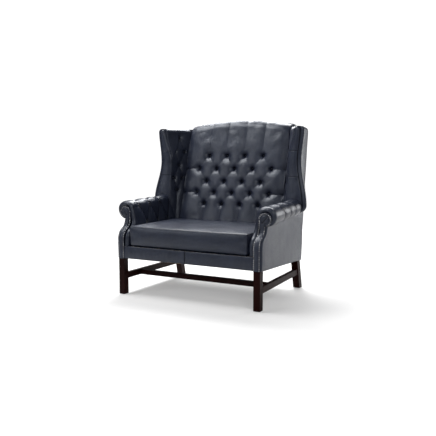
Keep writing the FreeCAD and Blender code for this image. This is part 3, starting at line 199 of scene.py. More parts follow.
def ripples(u, v, size, seed, count=14):
    """Smooth uneven waves of about one size, from -1 to 1, the same on every run."""
    dice = np.random.RandomState(seed)
    total = np.zeros(np.broadcast(u, v).shape)
    for _ in range(count):
        angle, phase = dice.uniform(0, 2 * np.pi, 2)
        wave = 2 * np.pi / (size * dice.uniform(0.6, 1.6))
        total += np.sin(wave * (u * np.cos(angle) + v * np.sin(angle)) + phase)
    return total / np.sqrt(count * 2)


# Meshes

def stand(name, data, place=(0.0, 0.0, 0.0), direction=None):
    """A new object in the scene, turned to look along a direction if there is one."""
    piece = bpy.data.objects.new(name, data)
    bpy.context.scene.collection.objects.link(piece)
    piece.location = place
    if direction is not None:
        piece.rotation_euler = direction.to_track_quat("-Z", "Y").to_euler()
    return piece


def add_piece(name, points, faces, hollow=None, body=FRAME_BODY, replaces=(), slot="navy_black_leather"):
    """A closed smooth mesh on a body, with an attribute that says how deep in a fold each point lies, which
    the leather turns into painted shade.
    """
    mesh = bpy.data.meshes.new(name)
    mesh.from_pydata(world(points).tolist(), [], faces)
    mesh.validate()
    if signed_volume(points, faces) < 0:
        mesh.flip_normals()
    mesh.polygons.foreach_set("use_smooth", np.ones(len(mesh.polygons), bool))
    if hollow is not None:
        attribute = mesh.attributes.new("hollow", "FLOAT", "POINT")
        attribute.data.foreach_set("value", np.asarray(hollow, np.float32).ravel())
    mesh.materials.append(LOOKS[slot])
    piece = stand(name, mesh)
    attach(piece, body)
    if replaces:
        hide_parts(*replaces)
    return piece


def signed_volume(points, faces):
    """A number whose sign says whether the faces with four corners look outwards."""
    points = np.asarray(points, float)
    quads = np.array([face for face in faces if len(face) == 4])
    a, b, c, d = (points[quads[:, i]] for i in range(4))
    return (a * (np.cross(b, c) + np.cross(c, d))).sum()


def both_sides(name, points, faces, replaces=(), **options):
    """The right piece and its mirrored left twin."""
    for side in ("right", "left"):
        placed = points if side == "right" else mirrored(points)
        nodes = [node + "_" + side for node in replaces]
        add_piece(name + "_" + side, placed, faces, replaces=nodes, **options)


def loft(sections):
    """Points and faces of a closed form through loops of equal length, with flat ends."""
    rows, size = sections.shape[:2]
    start = np.arange(rows - 1)[:, None] * size
    here = np.arange(size)[None, :]
    there = (here + 1) % size
    quads = np.stack([start + here, start + there, start + size + there, start + size + here], -1)
    faces = quads.reshape(-1, 4).tolist()
    faces.append(list(range(size))[::-1])
    faces.append(list(range((rows - 1) * size, rows * size)))
    return sections.reshape(-1, 3), faces


def shell(front, rear):
    """Points and faces of a closed sheet between two grids of the same size."""
    rows, columns = front.shape[:2]
    index = np.arange(rows * columns).reshape(rows, columns)
    under = index + index.size

    def quads(*corners):
        return np.stack([corner.ravel() for corner in corners], -1).tolist()

    faces = quads(index[:-1, :-1], index[:-1, 1:], index[1:, 1:], index[1:, :-1])
    faces += quads(under[1:, :-1], under[1:, 1:], under[:-1, 1:], under[:-1, :-1])
    rim = np.concatenate([index[0, :], index[1:, -1], index[-1, -2::-1], index[-2:0:-1, 0]])
    following = np.roll(rim, -1)
    faces += quads(following, rim, rim + index.size, following + index.size)
    return np.concatenate([front.reshape(-1, 3), rear.reshape(-1, 3)]), faces


def add_sheet(name, front, rear, replaces=(), hollow=None, add=both_sides):
    """A closed sheet between two grids, with how hollow its front is at each place; a given hollow makes its
    rear fully hollow, so rims get painted shade.
    """
    points, faces = shell(front, rear)
    shade = np.zeros(len(points))
    if hollow is not None:
        # The rear counts as fully hollow, which paints shade on the rims.
        shade = np.concatenate([hollow.ravel(), np.ones(hollow.size)])
    add(name, points, faces, hollow=shade, replaces=replaces)


def dome(radius, height, skirt, rings=6, sides=20):
    """Points and faces of a closed dome that faces +Z and goes on below its rim by a skirt."""
    angles = np.arange(sides) * 2 * math.pi / sides
    circle = xyz(np.cos(angles), np.sin(angles), np.zeros(sides))
    turns = np.arange(1, rings + 1) / rings * math.pi / 2
    levels = [(radius * math.sin(turn), height * math.cos(turn)) for turn in turns] + [(radius * 0.9, -skirt)]
    points = [np.array([(0.0, 0.0, height)])] + [circle * reach + (0, 0, level) for reach, level in levels]
    pairs = [(side, (side + 1) % sides) for side in range(sides)]
    faces = [[0, 1 + here, 1 + there] for here, there in pairs]
    for a in range(1, rings * sides, sides):
        b = a + sides
        faces += [[a + here, b + here, b + there, a + there] for here, there in pairs]
    faces.append([1 + rings * sides + side for side in range(sides)][::-1])
    return np.concatenate(points), faces


def copies(form, places):
    """One mesh of a form stood at places, each with the direction it faces."""
    points, faces = form
    all_points, all_faces = [], []
    for place, facing in places:
        turn = Vector(facing).normalized().to_track_quat("Z", "Y").to_matrix()
        offset = len(all_points) * len(points)
        all_points.append(points @ np.array(turn).T + np.array(place))
        all_faces += [[index + offset for index in face] for face in faces]
    return np.concatenate(all_points), all_faces


def add_buttons(name, places, node, add=both_sides):
    points, faces = copies(dome(BUTTON_RADIUS, BUTTON_HEIGHT, skirt=2.0), places)
    # Buttons count as half hollow: painted shade darkens and dulls them.
    add(name, points, faces, hollow=np.full(len(points), 0.5), replaces=[node])


# Padded skins

def neighbours(field):
    """The sum of the four cells around each cell."""
    edge = np.pad(field, 1, mode="edge")
    return edge[:-2, 1:-1] + edge[2:, 1:-1] + edge[1:-1, :-2] + edge[1:-1, 2:]


def blurred(field, rounds):
    for _ in range(rounds):
        field = (neighbours(field) + 4 * field) / 8
    return field


def relax(target, fixed, values, reach):
    """Settles a padded skin: it keeps its fixed cells and rises to its target over a reach in cells."""
    skin = np.where(fixed, values, target)
    pull = 1.0 / reach ** 2
    rows, columns = np.indices(skin.shape)
    masks = [~fixed & ((rows + columns) % 2 == parity) for parity in (0, 1)]
    for _ in range(RELAX_ROUNDS):
        for mask in masks:
            settled = (neighbours(skin) + pull * target) / (4 + pull)
            skin = np.where(mask, skin + RELAX_HASTE * (settled - skin), skin)
    return skin


class Tufting:
    """A padded skin over a grid of places u, v, drawn in at buttons and along folds."""

    def __init__(self, u, v, target, reach=11.0, pit=15.0):
        self.u, self.v, self.target = u, v, target
        self.reach, self.pit = reach, pit
        self.fixed = np.zeros(u.shape, bool)
        self.values = np.zeros(u.shape)
        self.buttons = []

    def button(self, u, v):
        away = np.hypot(self.u - u, self.v - v)
        near = away < BUTTON_RADIUS + 1
        self.fixed |= near
        self.values = np.where(near, 0.5 + 0.3 * np.maximum(away - 6, 0), self.values)
        self.buttons.append((u, v))

    def fold(self, start, end, depth, pits=(True, True), width=FOLD_WIDTH):
        """A fold that stands at a share of the target and falls into pits at its buttoned ends."""
        start, end = np.array(start, float), np.array(end, float)
        length = np.hypot(*(end - start))
        along = (end - start) / length
        du, dv = self.u - start[0], self.v - start[1]
        run = du * along[0] + dv * along[1]
        off = np.abs(du * along[1] - dv * along[0])
        near = (run >= 0) & (run <= length) & (off < CELL * width)
        height = mix(*depth, np.clip(run / length, 0, 1)) * self.target
        for pitted, away in zip(pits, (run, length - run)):
            if pitted:
                height = height * (1 - np.exp(-np.maximum(away, 0) / self.pit))
        newly = near & ~self.fixed
        self.values = np.where(newly, height, self.values)
        self.fixed |= newly

    def pleat(self, start, end, depth, width=FOLD_WIDTH):
        """A fold from a button to a free end."""
        self.fold(start, end, depth, (True, False), width)

    def net(self, rows, depth, reach=math.inf):
        """Buttons in rows, with folds between those of neighbouring rows that stand within a reach in u."""
        for u, v in sum(rows, []):
            self.button(u, v)
        for lower, upper in zip(rows, rows[1:]):
            for a in lower:
                for b in upper:
                    if abs(a[0] - b[0]) < reach:
                        self.fold(a, b, depth)

    def settle(self, seed, gather=1.1, lumps=1.6):
        """The skin's height, gathered round its buttons, and how hollow it is from 0 to 1, which sets the
        painted shade.
        """
        skin = relax(self.target, self.fixed, self.values, self.reach)
        for number, (u, v) in enumerate(self.buttons):
            du, dv = self.u - u, self.v - v
            away, angle = np.hypot(du, dv), np.arctan2(dv, du)
            phases = np.random.RandomState(seed + number).uniform(0, 2 * np.pi, 2)
            wave = np.cos(9 * angle + phases[0]) + 0.6 * np.cos(14 * angle + phases[1])
            fade = np.exp(-np.maximum(away - 12, 0) / 12) * (away > 8)
            skin = skin + gather * wave * fade
        lift = np.clip(skin / np.maximum(self.target, 1.0), 0, 1)
        skin = skin + lumps * ripples(self.u, self.v, 110, seed) * lift
        skin = skin + 0.12 * ripples(self.u, self.v * 0.5, 22, seed + 7) * lift
        # Concave and low places count as hollow and get painted shade.
        hollow = np.clip((blurred(skin, 12) - skin) / 5.0, 0, 1)
        deep = np.clip(1 - skin / np.maximum(0.45 * self.target, 1.0), 0, 1)
        return skin, np.maximum(hollow, deep)


# Shared faces in the side view

def rear_face_y(z):
    low = mix(REAR_LOW_Y, REAR_KNEE_Y, (z - REAR_CLEARANCE) / (REAR_KNEE_Z - REAR_CLEARANCE))
    return np.where(z < REAR_KNEE_Z, low, REAR_KNEE_Y + REAR_SLOPE * (z - REAR_KNEE_Z))


def button_face_y(z):
    return BUTTON_FACE_Y + BUTTON_FACE_SLOPE * (np.maximum(z, BACK_UPRIGHT_Z) - BUTTON_FACE_Z)


def crest_z(x):
    return CREST_Z - CREST_RADIUS + np.sqrt(CREST_RADIUS ** 2 - x ** 2)


def panel_x(y):
    return mix(PANEL_X_FRONT, PANEL_X_REAR, y / float(rear_face_y(WING_SKIRT_Z)))


def underside_z(y):
    return mix(FRONT_CLEARANCE, REAR_CLEARANCE, y / REAR_LOW_Y)


def arm_front_y(z):
    """The S-shaped front of an arm: two arcs that turn back by the same angle."""
    turn = 2 * math.atan2(ARM_FRONT_Y, LEAN_END_Z - LEAN_START_Z)
    radius = ARM_FRONT_Y / 2 / (1 - math.cos(turn))
    middle = (LEAN_START_Z + LEAN_END_Z) / 2
    z = np.clip(z, LEAN_START_Z, LEAN_END_Z)
    rise = np.where(z <= middle, z - LEAN_START_Z, LEAN_END_Z - z)
    arc = radius * (1 - np.sqrt(1 - np.clip(rise / radius, 0, math.sin(turn)) ** 2))
    return np.where(z <= middle, arc, ARM_FRONT_Y - arc)


# Materials

MIX_FIRST, MIX_SECOND, MIX_RESULT = 6, 7, 2


def connect(tree, node, inputs):
    """Sets each input of a node to a value, or links it to another node's socket."""
    for key, value in inputs.items():
        if isinstance(value, bpy.types.NodeSocket):
            tree.links.new(value, node.inputs[key])
        else:
            node.inputs[key].default_value = value


def add_node(tree, kind, inputs, **attributes):
    node = tree.nodes.new("ShaderNode" + kind)
    for key, value in attributes.items():
        setattr(node, key, value)
    connect(tree, node, inputs)
    return node


class Finish:
    """A material whose patterns follow the place on the piece."""

    def __init__(self, name):
        self.material = bpy.data.materials.new(name)
        self.material.use_nodes = True
        self.tree = self.material.node_tree
        self.place = self.node("TexCoord", {}).outputs["Object"]

    def node(self, kind, inputs, **attributes):
        return add_node(self.tree, kind, inputs, **attributes)

    def noise(self, scale, detail, **more):
        inputs = {"Vector": self.place, "Scale": scale, "Detail": detail, **more}
        return self.node("TexNoise", inputs).outputs["Fac"]

    def ramp(self, source, stops):
        """A colour ramp through two (place, grey or colour) stops."""
        node = self.node("ValToRGB", {"Fac": source})
        for element, (place, colour) in zip(node.color_ramp.elements, stops):
            element.position = place
            element.color = (*colour, 1.0) if isinstance(colour, tuple) else (colour, colour, colour, 1.0)
        return node.outputs["Color"]

    def blend(self, share, first, second, kind="MIX"):
        inputs = {"Factor": share, MIX_FIRST: first, MIX_SECOND: second}
        return self.node("Mix", inputs, data_type="RGBA", blend_type=kind).outputs[MIX_RESULT]

    def bump(self, height, strength, distance, **under):
        inputs = {"Height": height, "Strength": strength, "Distance": distance, **under}
        return self.node("Bump", inputs).outputs["Normal"]

    def surface(self, inputs):
        """Sets the surface's inputs and returns the finished material."""
        connect(self.tree, self.tree.nodes["Principled BSDF"], inputs)
        return self.material


def leather(name, base, worn, deep, roughness=0.34):
    """Grained hide: cells of grain, soft creases and colour paler where it rubs, with painted shade that
    darkens the colour and dulls the specular where the hollow attribute marks folds and pits.
    """
    finish = Finish(name)
    cloud = finish.noise(7.0, 4.0, Roughness=0.55)
    mottle = finish.noise(60.0, 5.0, Roughness=0.6)
    crease = finish.noise(38.0, 6.0, Roughness=0.62, Distortion=0.6)
    fine = finish.noise(900.0, 2.0)
    grain = finish.node("TexVoronoi", {"Vector": finish.place, "Scale": 620.0},
                        feature="DISTANCE_TO_EDGE").outputs["Distance"]
    hollow = finish.node("Attribute", {}, attribute_name="hollow").outputs["Fac"]

    darker, paler = (tuple(part * share for part in base) for share in (0.82, 1.2))
    tone = finish.ramp(cloud, [(0.3, darker), (0.7, paler)])
    speck = finish.ramp(mottle, [(0.35, 0.86), (0.7, 1.1)])
    colour = finish.blend(1.0, tone, speck, "MULTIPLY")
    rub = finish.ramp(crease, [(0.5, 0.0), (0.78, 0.45)])
    colour = finish.blend(rub, colour, (*worn, 1.0))
    # Painted shade: the colour blends towards the near-black last colour as far as the hollow attribute marks
    # a place as folded in.
    colour = finish.blend(hollow, colour, (*deep, 1.0))
    gloss = finish.ramp(cloud, [(0.3, roughness - 0.05), (0.7, roughness + 0.07)])
    # Painted shade also turns the specular down in hollows.
    shine = finish.node("MapRange", {"Value": hollow, "To Min": 0.5, "To Max": 0.08})

    cells = finish.ramp(grain, [(0.0, 0.0), (0.22, 1.0)])
    bump = finish.bump(crease, 0.28, 0.003)
    bump = finish.bump(fine, 0.25, 0.0004, Normal=bump)
    bump = finish.bump(cells, 0.35, 0.0004, Normal=bump)
    return finish.surface({
        "Base Color": colour, "Roughness": gloss, "Normal": bump, "Coat Weight": 0.08, "Coat Roughness": 0.28,
        "Specular IOR Level": shine.outputs["Result"], "Specular Tint": (0.88, 0.93, 1.0, 1.0)})


def polished_wood(name, dark, light, scale, roughness):
    """Straight grain drawn out along one direction, with pores."""
    finish = Finish(name)
    along = finish.node("Mapping", {"Vector": finish.place, "Scale": scale}).outputs["Vector"]
    rings = finish.noise(22.0, 8.0, Vector=along, Roughness=0.6, Distortion=0.8)
    pores = finish.noise(160.0, 3.0, Vector=along)
    return finish.surface({
        "Base Color": finish.ramp(rings, [(0.32, dark), (0.7, light)]),
        "Roughness": finish.ramp(pores, [(0.3, roughness), (0.7, roughness + 0.12)]),
        "Normal": finish.bump(pores, 0.15, 0.0004), "Specular IOR Level": 0.08})


def metal(name, dark, light, roughness):
    """Worn metal: darker and duller in patches."""
    finish = Finish(name)
    patches = finish.noise(90.0, 5.0)
    return finish.surface({
        "Base Color": finish.ramp(patches, [(0.35, dark), (0.65, light)]), "Metallic": 0.9,
        "Roughness": finish.ramp(patches, [(0.3, roughness + 0.12), (0.7, roughness)])})


def woven(name, dark, light, threads):
    """Plain cloth: crossing threads."""
    finish = Finish(name)
    inputs = {"Vector": finish.place, "Scale": threads, "Distortion": 0.4}
    warp, weft = (finish.node("TexWave", inputs, bands_direction=axis) for axis in "XY")
    crossing = {0: warp.outputs["Fac"], 1: weft.outputs["Fac"]}
    weave = finish.node("Math", crossing, operation="MAXIMUM").outputs["Value"]
    return finish.surface({
        "Base Color": finish.ramp(weave, [(0.2, dark), (0.9, light)]), "Roughness": 0.85,
        "Normal": finish.bump(weave, 0.4, 0.0005), "Sheen Weight": 0.2})


def speckled(name, dark, light, scale, roughness):
    """Foam or moulded plastic: a faint speckle and a pebbled face."""
    finish = Finish(name)
    speck = finish.noise(scale, 4.0)
    return finish.surface({
        "Base Color": finish.ramp(speck, [(0.35, dark), (0.65, light)]),
        "Roughness": roughness, "Normal": finish.bump(speck, 0.3, 0.0005)})


LOOK_TABLE = (
    # The leather's last colour is the painted shade for its folds, pits and rims.
    (leather, "navy_black_leather", (0.013, 0.017, 0.033), (0.026, 0.031, 0.048), (0.001, 0.0015, 0.004)),
    (polished_wood, "mahogany_stain", (0.008, 0.0006, 0.0003), (0.018, 0.0014, 0.0006), (1.0, 1.0, 0.12),
     0.34),
    (polished_wood, "frame_beech", (0.42, 0.27, 0.15), (0.58, 0.41, 0.25), (1.0, 0.15, 1.0), 0.6),
    (metal, "spring_steel", (0.22, 0.22, 0.23), (0.42, 0.42, 0.44), 0.35),
    (metal, "antique_nails", (0.12, 0.121, 0.13), (0.50, 0.50, 0.52), 0.26),
    (woven, "black_cloth", (0.004, 0.004, 0.005), (0.016, 0.016, 0.018), 220.0),
    (speckled, "foam", (0.60, 0.52, 0.36), (0.74, 0.66, 0.48), 300.0, 0.9),
    (speckled, "glide_plastic", (0.02, 0.02, 0.02), (0.05, 0.05, 0.05), 500.0, 0.5),
)
LOOKS = {slot: make(slot, *values) for make, slot, *values in LOOK_TABLE}



# Back

ROLL_LEAN = math.atan(BUTTON_FACE_SLOPE)
ROLL_SWEEP = math.pi / 2 - ROLL_LEAN
CREST_BACK_Y = float(rear_face_y(CREST_Z)) - COVER


def crest_roll(x):
    """Where the leaning face runs into the roll, the roll's axis, and the level run behind it."""
    start = crest_z(x) - CREST_ROLL * (1 - math.sin(ROLL_LEAN))
    face = BUTTON_FACE_Y + BUTTON_FACE_SLOPE * (start - BUTTON_FACE_Z) - CREST_SWELL
    axis_y = face + CREST_ROLL * math.cos(ROLL_LEAN)
    return start, axis_y, CREST_BACK_Y - axis_y


def crest_run(x):
    """The path from the deck up the face and over the crest to its rear edge."""
    start, _, level = crest_roll(x)
    return start + CREST_ROLL * ROLL_SWEEP + level


def back_target(x, s):
    """How far the padding would stand without buttons: full on the face, thin over crest and sides."""
    face = mix(BACK_PUFF, CREST_SWELL, ease((s - STRETCH_Z) / 90))
    roll = mix(face, CREST_THIN, ease((s - CREST_AXIS_Z) / 190))
    side = ease((BACK_HALF - np.abs(x)) / SIDE_WIDTH)
    return mix(np.minimum(SIDE_FALL, roll), roll, side)


def back_rows():
    """The back's buttons from the lowest row up, four and five by turns."""
    rows = []
    for index, z in enumerate(BACK_ROWS):
        count = 5 if index % 2 else 4
        rows.append([((place - (count - 1) / 2) * BUTTON_PITCH, z) for place in range(count)])
    return rows


def back_skin(x, s, rows):
    """Diamonds between the buttons, pleats to the foot and over the crest, and a fold out to each side."""
    skin = Tufting(x, s, back_target(x, s))
    skin.net(rows, (0.86, 0.70), reach=BUTTON_PITCH * 0.6)
    for u, v in rows[0]:
        skin.pleat((u, v), (u * PLEAT_FAN, s[0, 0]), (0.62, 0.85))
    for u, v in rows[-1]:
        skin.pleat((u, v), (u * PLEAT_FAN, s[-1, 0]), (0.84, 0.80))
    for row in rows[1::2]:
        outermost, z = row[-1]
        for side in (-1, 1):
            skin.pleat((side * outermost, z), (side * BACK_HALF, z - 6), (0.6, 0.5))
    return skin


def back_front(x, s, height):
    """The skin's height over the leaning face, the crest's roll and the level run behind it."""
    start, axis_y, _ = crest_roll(x)
    top = s[-1, 0]
    stretched = STRETCH_Z + (s - STRETCH_Z) * (crest_run(x) - STRETCH_Z) / (top - STRETCH_Z)
    along = np.where(s > STRETCH_Z, stretched, s)
    angle = ROLL_LEAN + np.clip((along - start) / CREST_ROLL, 0, ROLL_SWEEP)
    past = np.maximum(along - start - CREST_ROLL * ROLL_SWEEP, 0)
    swell = back_target(np.zeros_like(x), s)
    end_round = rounded(BACK_HALF - np.abs(x), 16.0) * ease((s - 1040) / 60)
    rolled = CREST_ROLL + height - swell - end_round - rounded(top - s, 9.0)
    face_y = button_face_y(along) - np.maximum(swell, CREST_SWELL) + swell - height + end_round
    y = np.where(along <= start, face_y, axis_y - rolled * np.cos(angle) + past)
    z = np.where(along <= start, along, crest_z(x) - CREST_ROLL + rolled * np.sin(angle))
    return xyz(x, y, z)


def back_piece():
    """The buttoned inside back with its pleated crest."""
    xs = spread(-BACK_HALF, BACK_HALF, CELL)
    top = float(crest_run(0.0))
    stations = np.concatenate([spread(SEAT_TOP + 4, BACK_FINE_Z, 7.0), spread(BACK_FINE_Z + CELL, top, CELL)])
    x, s = np.meshgrid(xs, stations)
    rows = back_rows()
    height, hollow = back_skin(x, s, rows).settle(seed=11)
    front = back_front(x, s, height)

    side_z = float(crest_z(BACK_HALF))
    core_z = side_z - 60
    share = np.clip((stations - core_z) / (top - core_z), 0, 1)
    rear_z = np.where(stations < core_z, stations, mix(core_z, side_z - 12, share))
    rear_y = rear_face_y(rear_z) - COVER - mix(42.0, 5.0, share)
    rear = [xyz(np.full_like(stations, side), rear_y, rear_z) for side in (BACK_HALF, -BACK_HALF)]
    points, faces = loft(np.concatenate([front, np.stack(rear, 1)], 1))
    # The rear points count as fully hollow, which paints shade at the back's sides.
    shade = np.concatenate([hollow, np.ones((len(stations), 2))], 1)
    add_piece("buttoned_back", points, faces, hollow=shade, replaces=["inside_back"])
    places = [((u, float(button_face_y(v)), v), (0, -1, BUTTON_FACE_SLOPE)) for u, v in sum(rows, [])]
    add_buttons("covered_back_buttons", places, "back_buttons", add=add_piece)


# Arms

def roll_centre(y):
    return mix(ROLL_Z_FRONT, ROLL_Z_REAR, (y - ARM_FRONT_Y) / (ARM_END_Y - ARM_FRONT_Y))


def roll_radius(y):
    return mix(ROLL_R_FRONT, ROLL_R_REAR, (y - ARM_FRONT_Y) / (ARM_END_Y - ARM_FRONT_Y))


def arm_base(t, y):
    """The arm's valley line across, without padding: up the inner face, then round the roll."""
    station = np.maximum(y, ARM_FRONT_Y)
    centre, radius = roll_centre(station), roll_radius(station)
    turn = ROLL_START - np.clip((t - ARM_T_HIGH) / ROLL_PATH, 0, ROLL_TURN)
    inner_reach = np.hypot(ROLL_X - ARM_HIGH_X, ARM_ROW_HIGH - centre)
    around = ease((ROLL_START - turn) / (ROLL_START - math.pi / 2))
    reach = mix(inner_reach, radius - ROLL_PUFF + 0.5, around)
    reach = reach + (ROLL_PUFF - 1.5) * ease(-turn / (math.pi / 2))
    rise = (t - ARM_T_LOW) / (ARM_T_HIGH - ARM_T_LOW)
    x_high = mix(ARM_LOW_X, ROLL_X + inner_reach * math.cos(ROLL_START), rise)
    z_high = mix(ARM_ROW_LOW, centre + inner_reach * math.sin(ROLL_START), rise)
    x = np.where(t < ARM_T_HIGH, x_high, ROLL_X + reach * np.cos(turn))
    z = np.where(t < ARM_T_HIGH, z_high, centre + reach * np.sin(turn))
    return np.where(t < ARM_T_LOW, ARM_LOW_X, x), np.where(t < ARM_T_LOW, SEAT_TOP + t, z)


def arm_target(t, edge):
    """How far the arm's padding would stand without buttons, along the path and behind the front edge."""
    turned = np.degrees(np.clip((t - ARM_T_HIGH) / ROLL_PATH, 0, ROLL_TURN))
    target = mix(ARM_PUFF, ROLL_PUFF, ease(turned / 80))
    target = mix(target, 2.0, ease((turned - 170) / 80))
    return target * ease((edge + 12) / 34) * mix(0.35, 1.0, ease(t / 60))


def arm_skin(t, y, edge):
    """Two rows of buttons inside, with pleats down to the deck and over the roll."""
    skin = Tufting(t, y, arm_target(t, edge), reach=10.0, pit=14.0)
    low = [(ARM_T_LOW, place) for place in ARM_LOW_YS]
    high = [(ARM_T_HIGH, place) for place in ARM_HIGH_YS]
    for u, v in high + low:
        skin.button(u, v)
    for a, b in list(zip(high, low)) + list(zip(low, high[1:])):
        skin.fold(a, b, (0.36, 0.36))
    skin.pleat(low[-1], (ARM_T_HIGH + 8, 566.0), (0.36, 0.36))
    for u, v in low:
        skin.pleat((u, v), (0, v + 4), (0.6, 0.6))
    skin.pleat(high[0], (ARM_T_HIGH - 10, 92.0), (0.5, 0.6))
    for start, (over, outer, end) in zip(high, ROLL_PLEAT_YS):
        path = [start, (ARM_T_TOP, over), (ARM_T_SIDE, outer), (ARM_T_END, end)]
        for a, b in zip(path, path[1:]):
            skin.fold(a, b, (0.3, 0.3), (a is start, False), PLEAT_WIDTH)
    return skin


def arm_outer_skin(t, behind):
    """The arm's padded face as a grid, and how hollow it is."""
    start = arm_front_y(arm_base(t, np.full_like(t, 250.0))[1])
    stop = mix(ARM_INNER_END_Y, ROLL_END_Y, ease((t - ARM_T_HIGH + 6) / 50))
    edge = (stop - start) * behind
    y = start + edge
    height, hollow = arm_skin(t, y, edge).settle(seed=41, gather=0.9, lumps=1.0)
    x, z = arm_base(t, y)
    slope_x, slope_z = (np.gradient(blurred(field, 3), axis=0) for field in (x, z))
    slope = np.hypot(slope_x, slope_z)
    insets = rounded(edge, 20.0) + rounded(stop - y, 24.0) * ease((t - ARM_T_HIGH) / 30)
    ridges = 1.6 * np.cos(edge / 11.0 * 2 * np.pi) * np.exp(-edge / 16) * ease((t - ARM_T_LOW) / 60)
    off = height - insets + ridges
    return xyz(x - slope_z / slope * off, y, z + slope_x / slope * off), hollow


def arm_piece():
    """The buttoned inside of an arm with its roll, closed in front and below."""
    depths = np.concatenate([[0, 0.8, 2.0, 3.5, 5.5], spread(8, 560, CELL)])
    t, behind = grid(spread(3, ARM_T_END, CELL), depths / depths[-1])
    visible, hollow = arm_outer_skin(t, behind)
    core = visible[:, :1].copy()
    core[..., 0] = mix(core[..., 0], ARM_CORE_X, ARM_CORE_SHARE)
    core[..., 1] += ARM_CORE_BACK
    core[..., 2] = mix(core[..., 2], np.clip(core[..., 2], SEAT_TOP, ROLL_Z_FRONT), ARM_CORE_SHARE)
    loops = np.concatenate([core, visible], 1).transpose(1, 0, 2)
    under_x = np.full(len(loops), ARM_UNDER_X)
    under = xyz(under_x, loops[:, -1, 1], loops[:, -1, 2] + 6)
    foot = xyz(under_x, loops[:, 0, 1], np.full(len(loops), SEAT_TOP + 2))
    loops = np.concatenate([loops, under[:, None], foot[:, None]], 1)
    # The core, under and foot points count as fully hollow, which paints shade where the arm tucks in.
    shades = np.ones(loops.shape[:2])
    shades[1:, :-2] = hollow.T
    points, faces = loft(loops)
    both_sides("buttoned_arm", points, faces, hollow=shades, replaces=["inside_arm"])

    places = []
    for t, ys, rise in ((ARM_T_LOW, ARM_LOW_YS, 0.0), (ARM_T_HIGH, ARM_HIGH_YS, 0.3)):
        for y in ys:
            x, z = arm_base(np.array(t), np.array(y))
            places.append(((float(x) - 0.5, y, float(z)), (-1, 0, rise)))
    add_buttons("covered_arm_buttons", places, "arm_buttons")


# Facings and nails

def facing_sides(z):
    """The inner and outer x of the facing at a height: a straight stem with a round head."""
    half = np.sqrt(np.maximum(HEAD_R ** 2 - (z - HEAD_Z) ** 2, 0.0))
    inner = np.where(z > HEAD_Z, HEAD_X - half, FACING_INNER_X)
    outer = np.where(z > HEAD_Z, HEAD_X + half, np.maximum(HEAD_X + half, FACING_OUTER_X))
    return inner, outer


def facing_edge(x, z, inner, outer):
    """How far a place on the facing is from its edge."""
    to_rim = HEAD_R - np.hypot(x - HEAD_X, z - HEAD_Z)
    edge = np.where(z > HEAD_Z, to_rim, np.minimum(x - inner, outer - x))
    under_head = (z <= HEAD_Z) & (z >= HEAD_Z - HEAD_R) & (x > FACING_OUTER_X - 8)
    return np.maximum(np.where(under_head, np.minimum(edge, to_rim), edge), 0.0)


def facing_lift(x, z, inner, edge):
    """How far the facing's leather stands out: padding, welt, the nails' pull, folds in stem and head."""
    from_centre = np.hypot(x - HEAD_X, z - HEAD_Z)
    in_head = ease((z - (HEAD_Z - HEAD_R)) / 20)
    bulge = 6.5 * (1 - np.exp(-np.maximum(edge - NAIL_MARGIN, 0) / 7))
    welt = 2.2 * hump(edge - 1.5, 2.2)
    pull = 1.4 * hump(edge - NAIL_MARGIN, 2.2)
    waves = np.sin((x - inner) / 5.2 + 0.8 * ripples(x, z, 90, 5))
    wrinkles = 0.9 * waves * (1 - in_head) * ease((z - 330) / 60)
    spiral = np.arctan2(z - HEAD_Z, x - HEAD_X)
    ring = 3.2 * hump(from_centre - 26 - 3 * np.sin(spiral), 3.2) * in_head * (z > HEAD_Z - 26)
    diagonal = (x - HEAD_X + 4) * 0.75 - (z - HEAD_Z + 6) * 0.66
    crease = 5.0 * hump(diagonal, 3.4) * in_head * ease((HEAD_R - 8 - from_centre) / 8)
    lift = COVER + bulge + welt - pull + wrinkles - ring - crease + 0.5 * ripples(x, z, 24, 9)
    return np.maximum(lift, 1.0) * ease((edge + 2.2) / 3.5)


def facing_piece():
    """The front panel of an arm, in the shape of a crook."""
    head_turns = np.linspace(-math.pi / 2, math.pi / 2, 46)[1:-1]
    stem = spread(FRONT_CLEARANCE, HEAD_Z - HEAD_R, 3.0)
    zs = np.concatenate([stem, HEAD_Z + HEAD_R * np.sin(head_turns), [HEAD_Z + HEAD_R - 0.02]])
    z, w = grid(zs, (1 - np.cos(np.linspace(0, math.pi, 37))) / 2)
    inner, outer = facing_sides(z)
    x = mix(inner, outer, w)
    lift = facing_lift(x, z, inner, facing_edge(x, z, inner, outer))
    base = arm_front_y(z)
    # Painted shade in the facing's creases and dips, where the lift sits below its blurred level.
    add_sheet("arm_facing_panel", xyz(x, base - lift, z), xyz(x, base + FACING_DEPTH, z), ["arm_facing"],
              hollow=np.clip((blurred(lift, 4) - lift) / 1.5, 0, 1))


def nail_places():
    """The nails' places on a facing: up both sides, across its foot and round its head."""
    inner, outer = FACING_INNER_X + NAIL_MARGIN, FACING_OUTER_X - NAIL_MARGIN
    radius = HEAD_R - NAIL_MARGIN
    lowest = FRONT_CLEARANCE + NAIL_MARGIN
    places = []
    for index in range(int((HEAD_Z - lowest - NAIL_MARGIN) / NAIL_PITCH) + 1):
        z = lowest + index * NAIL_PITCH
        places.append((inner, z))
        if z < HEAD_Z - radius:
            places.append((outer, z))
    across = int((outer - inner) / NAIL_PITCH)
    for index in range(1, across + 1):
        places.append((mix(inner, outer, index / (across + 1)), lowest))
    turns = int(NAIL_ARC * radius / NAIL_PITCH)
    for index in range(turns + 1):
        angle = math.pi - NAIL_ARC * (index + 0.6) / turns
        places.append((HEAD_X + radius * math.cos(angle), HEAD_Z + radius * math.sin(angle)))
    return places


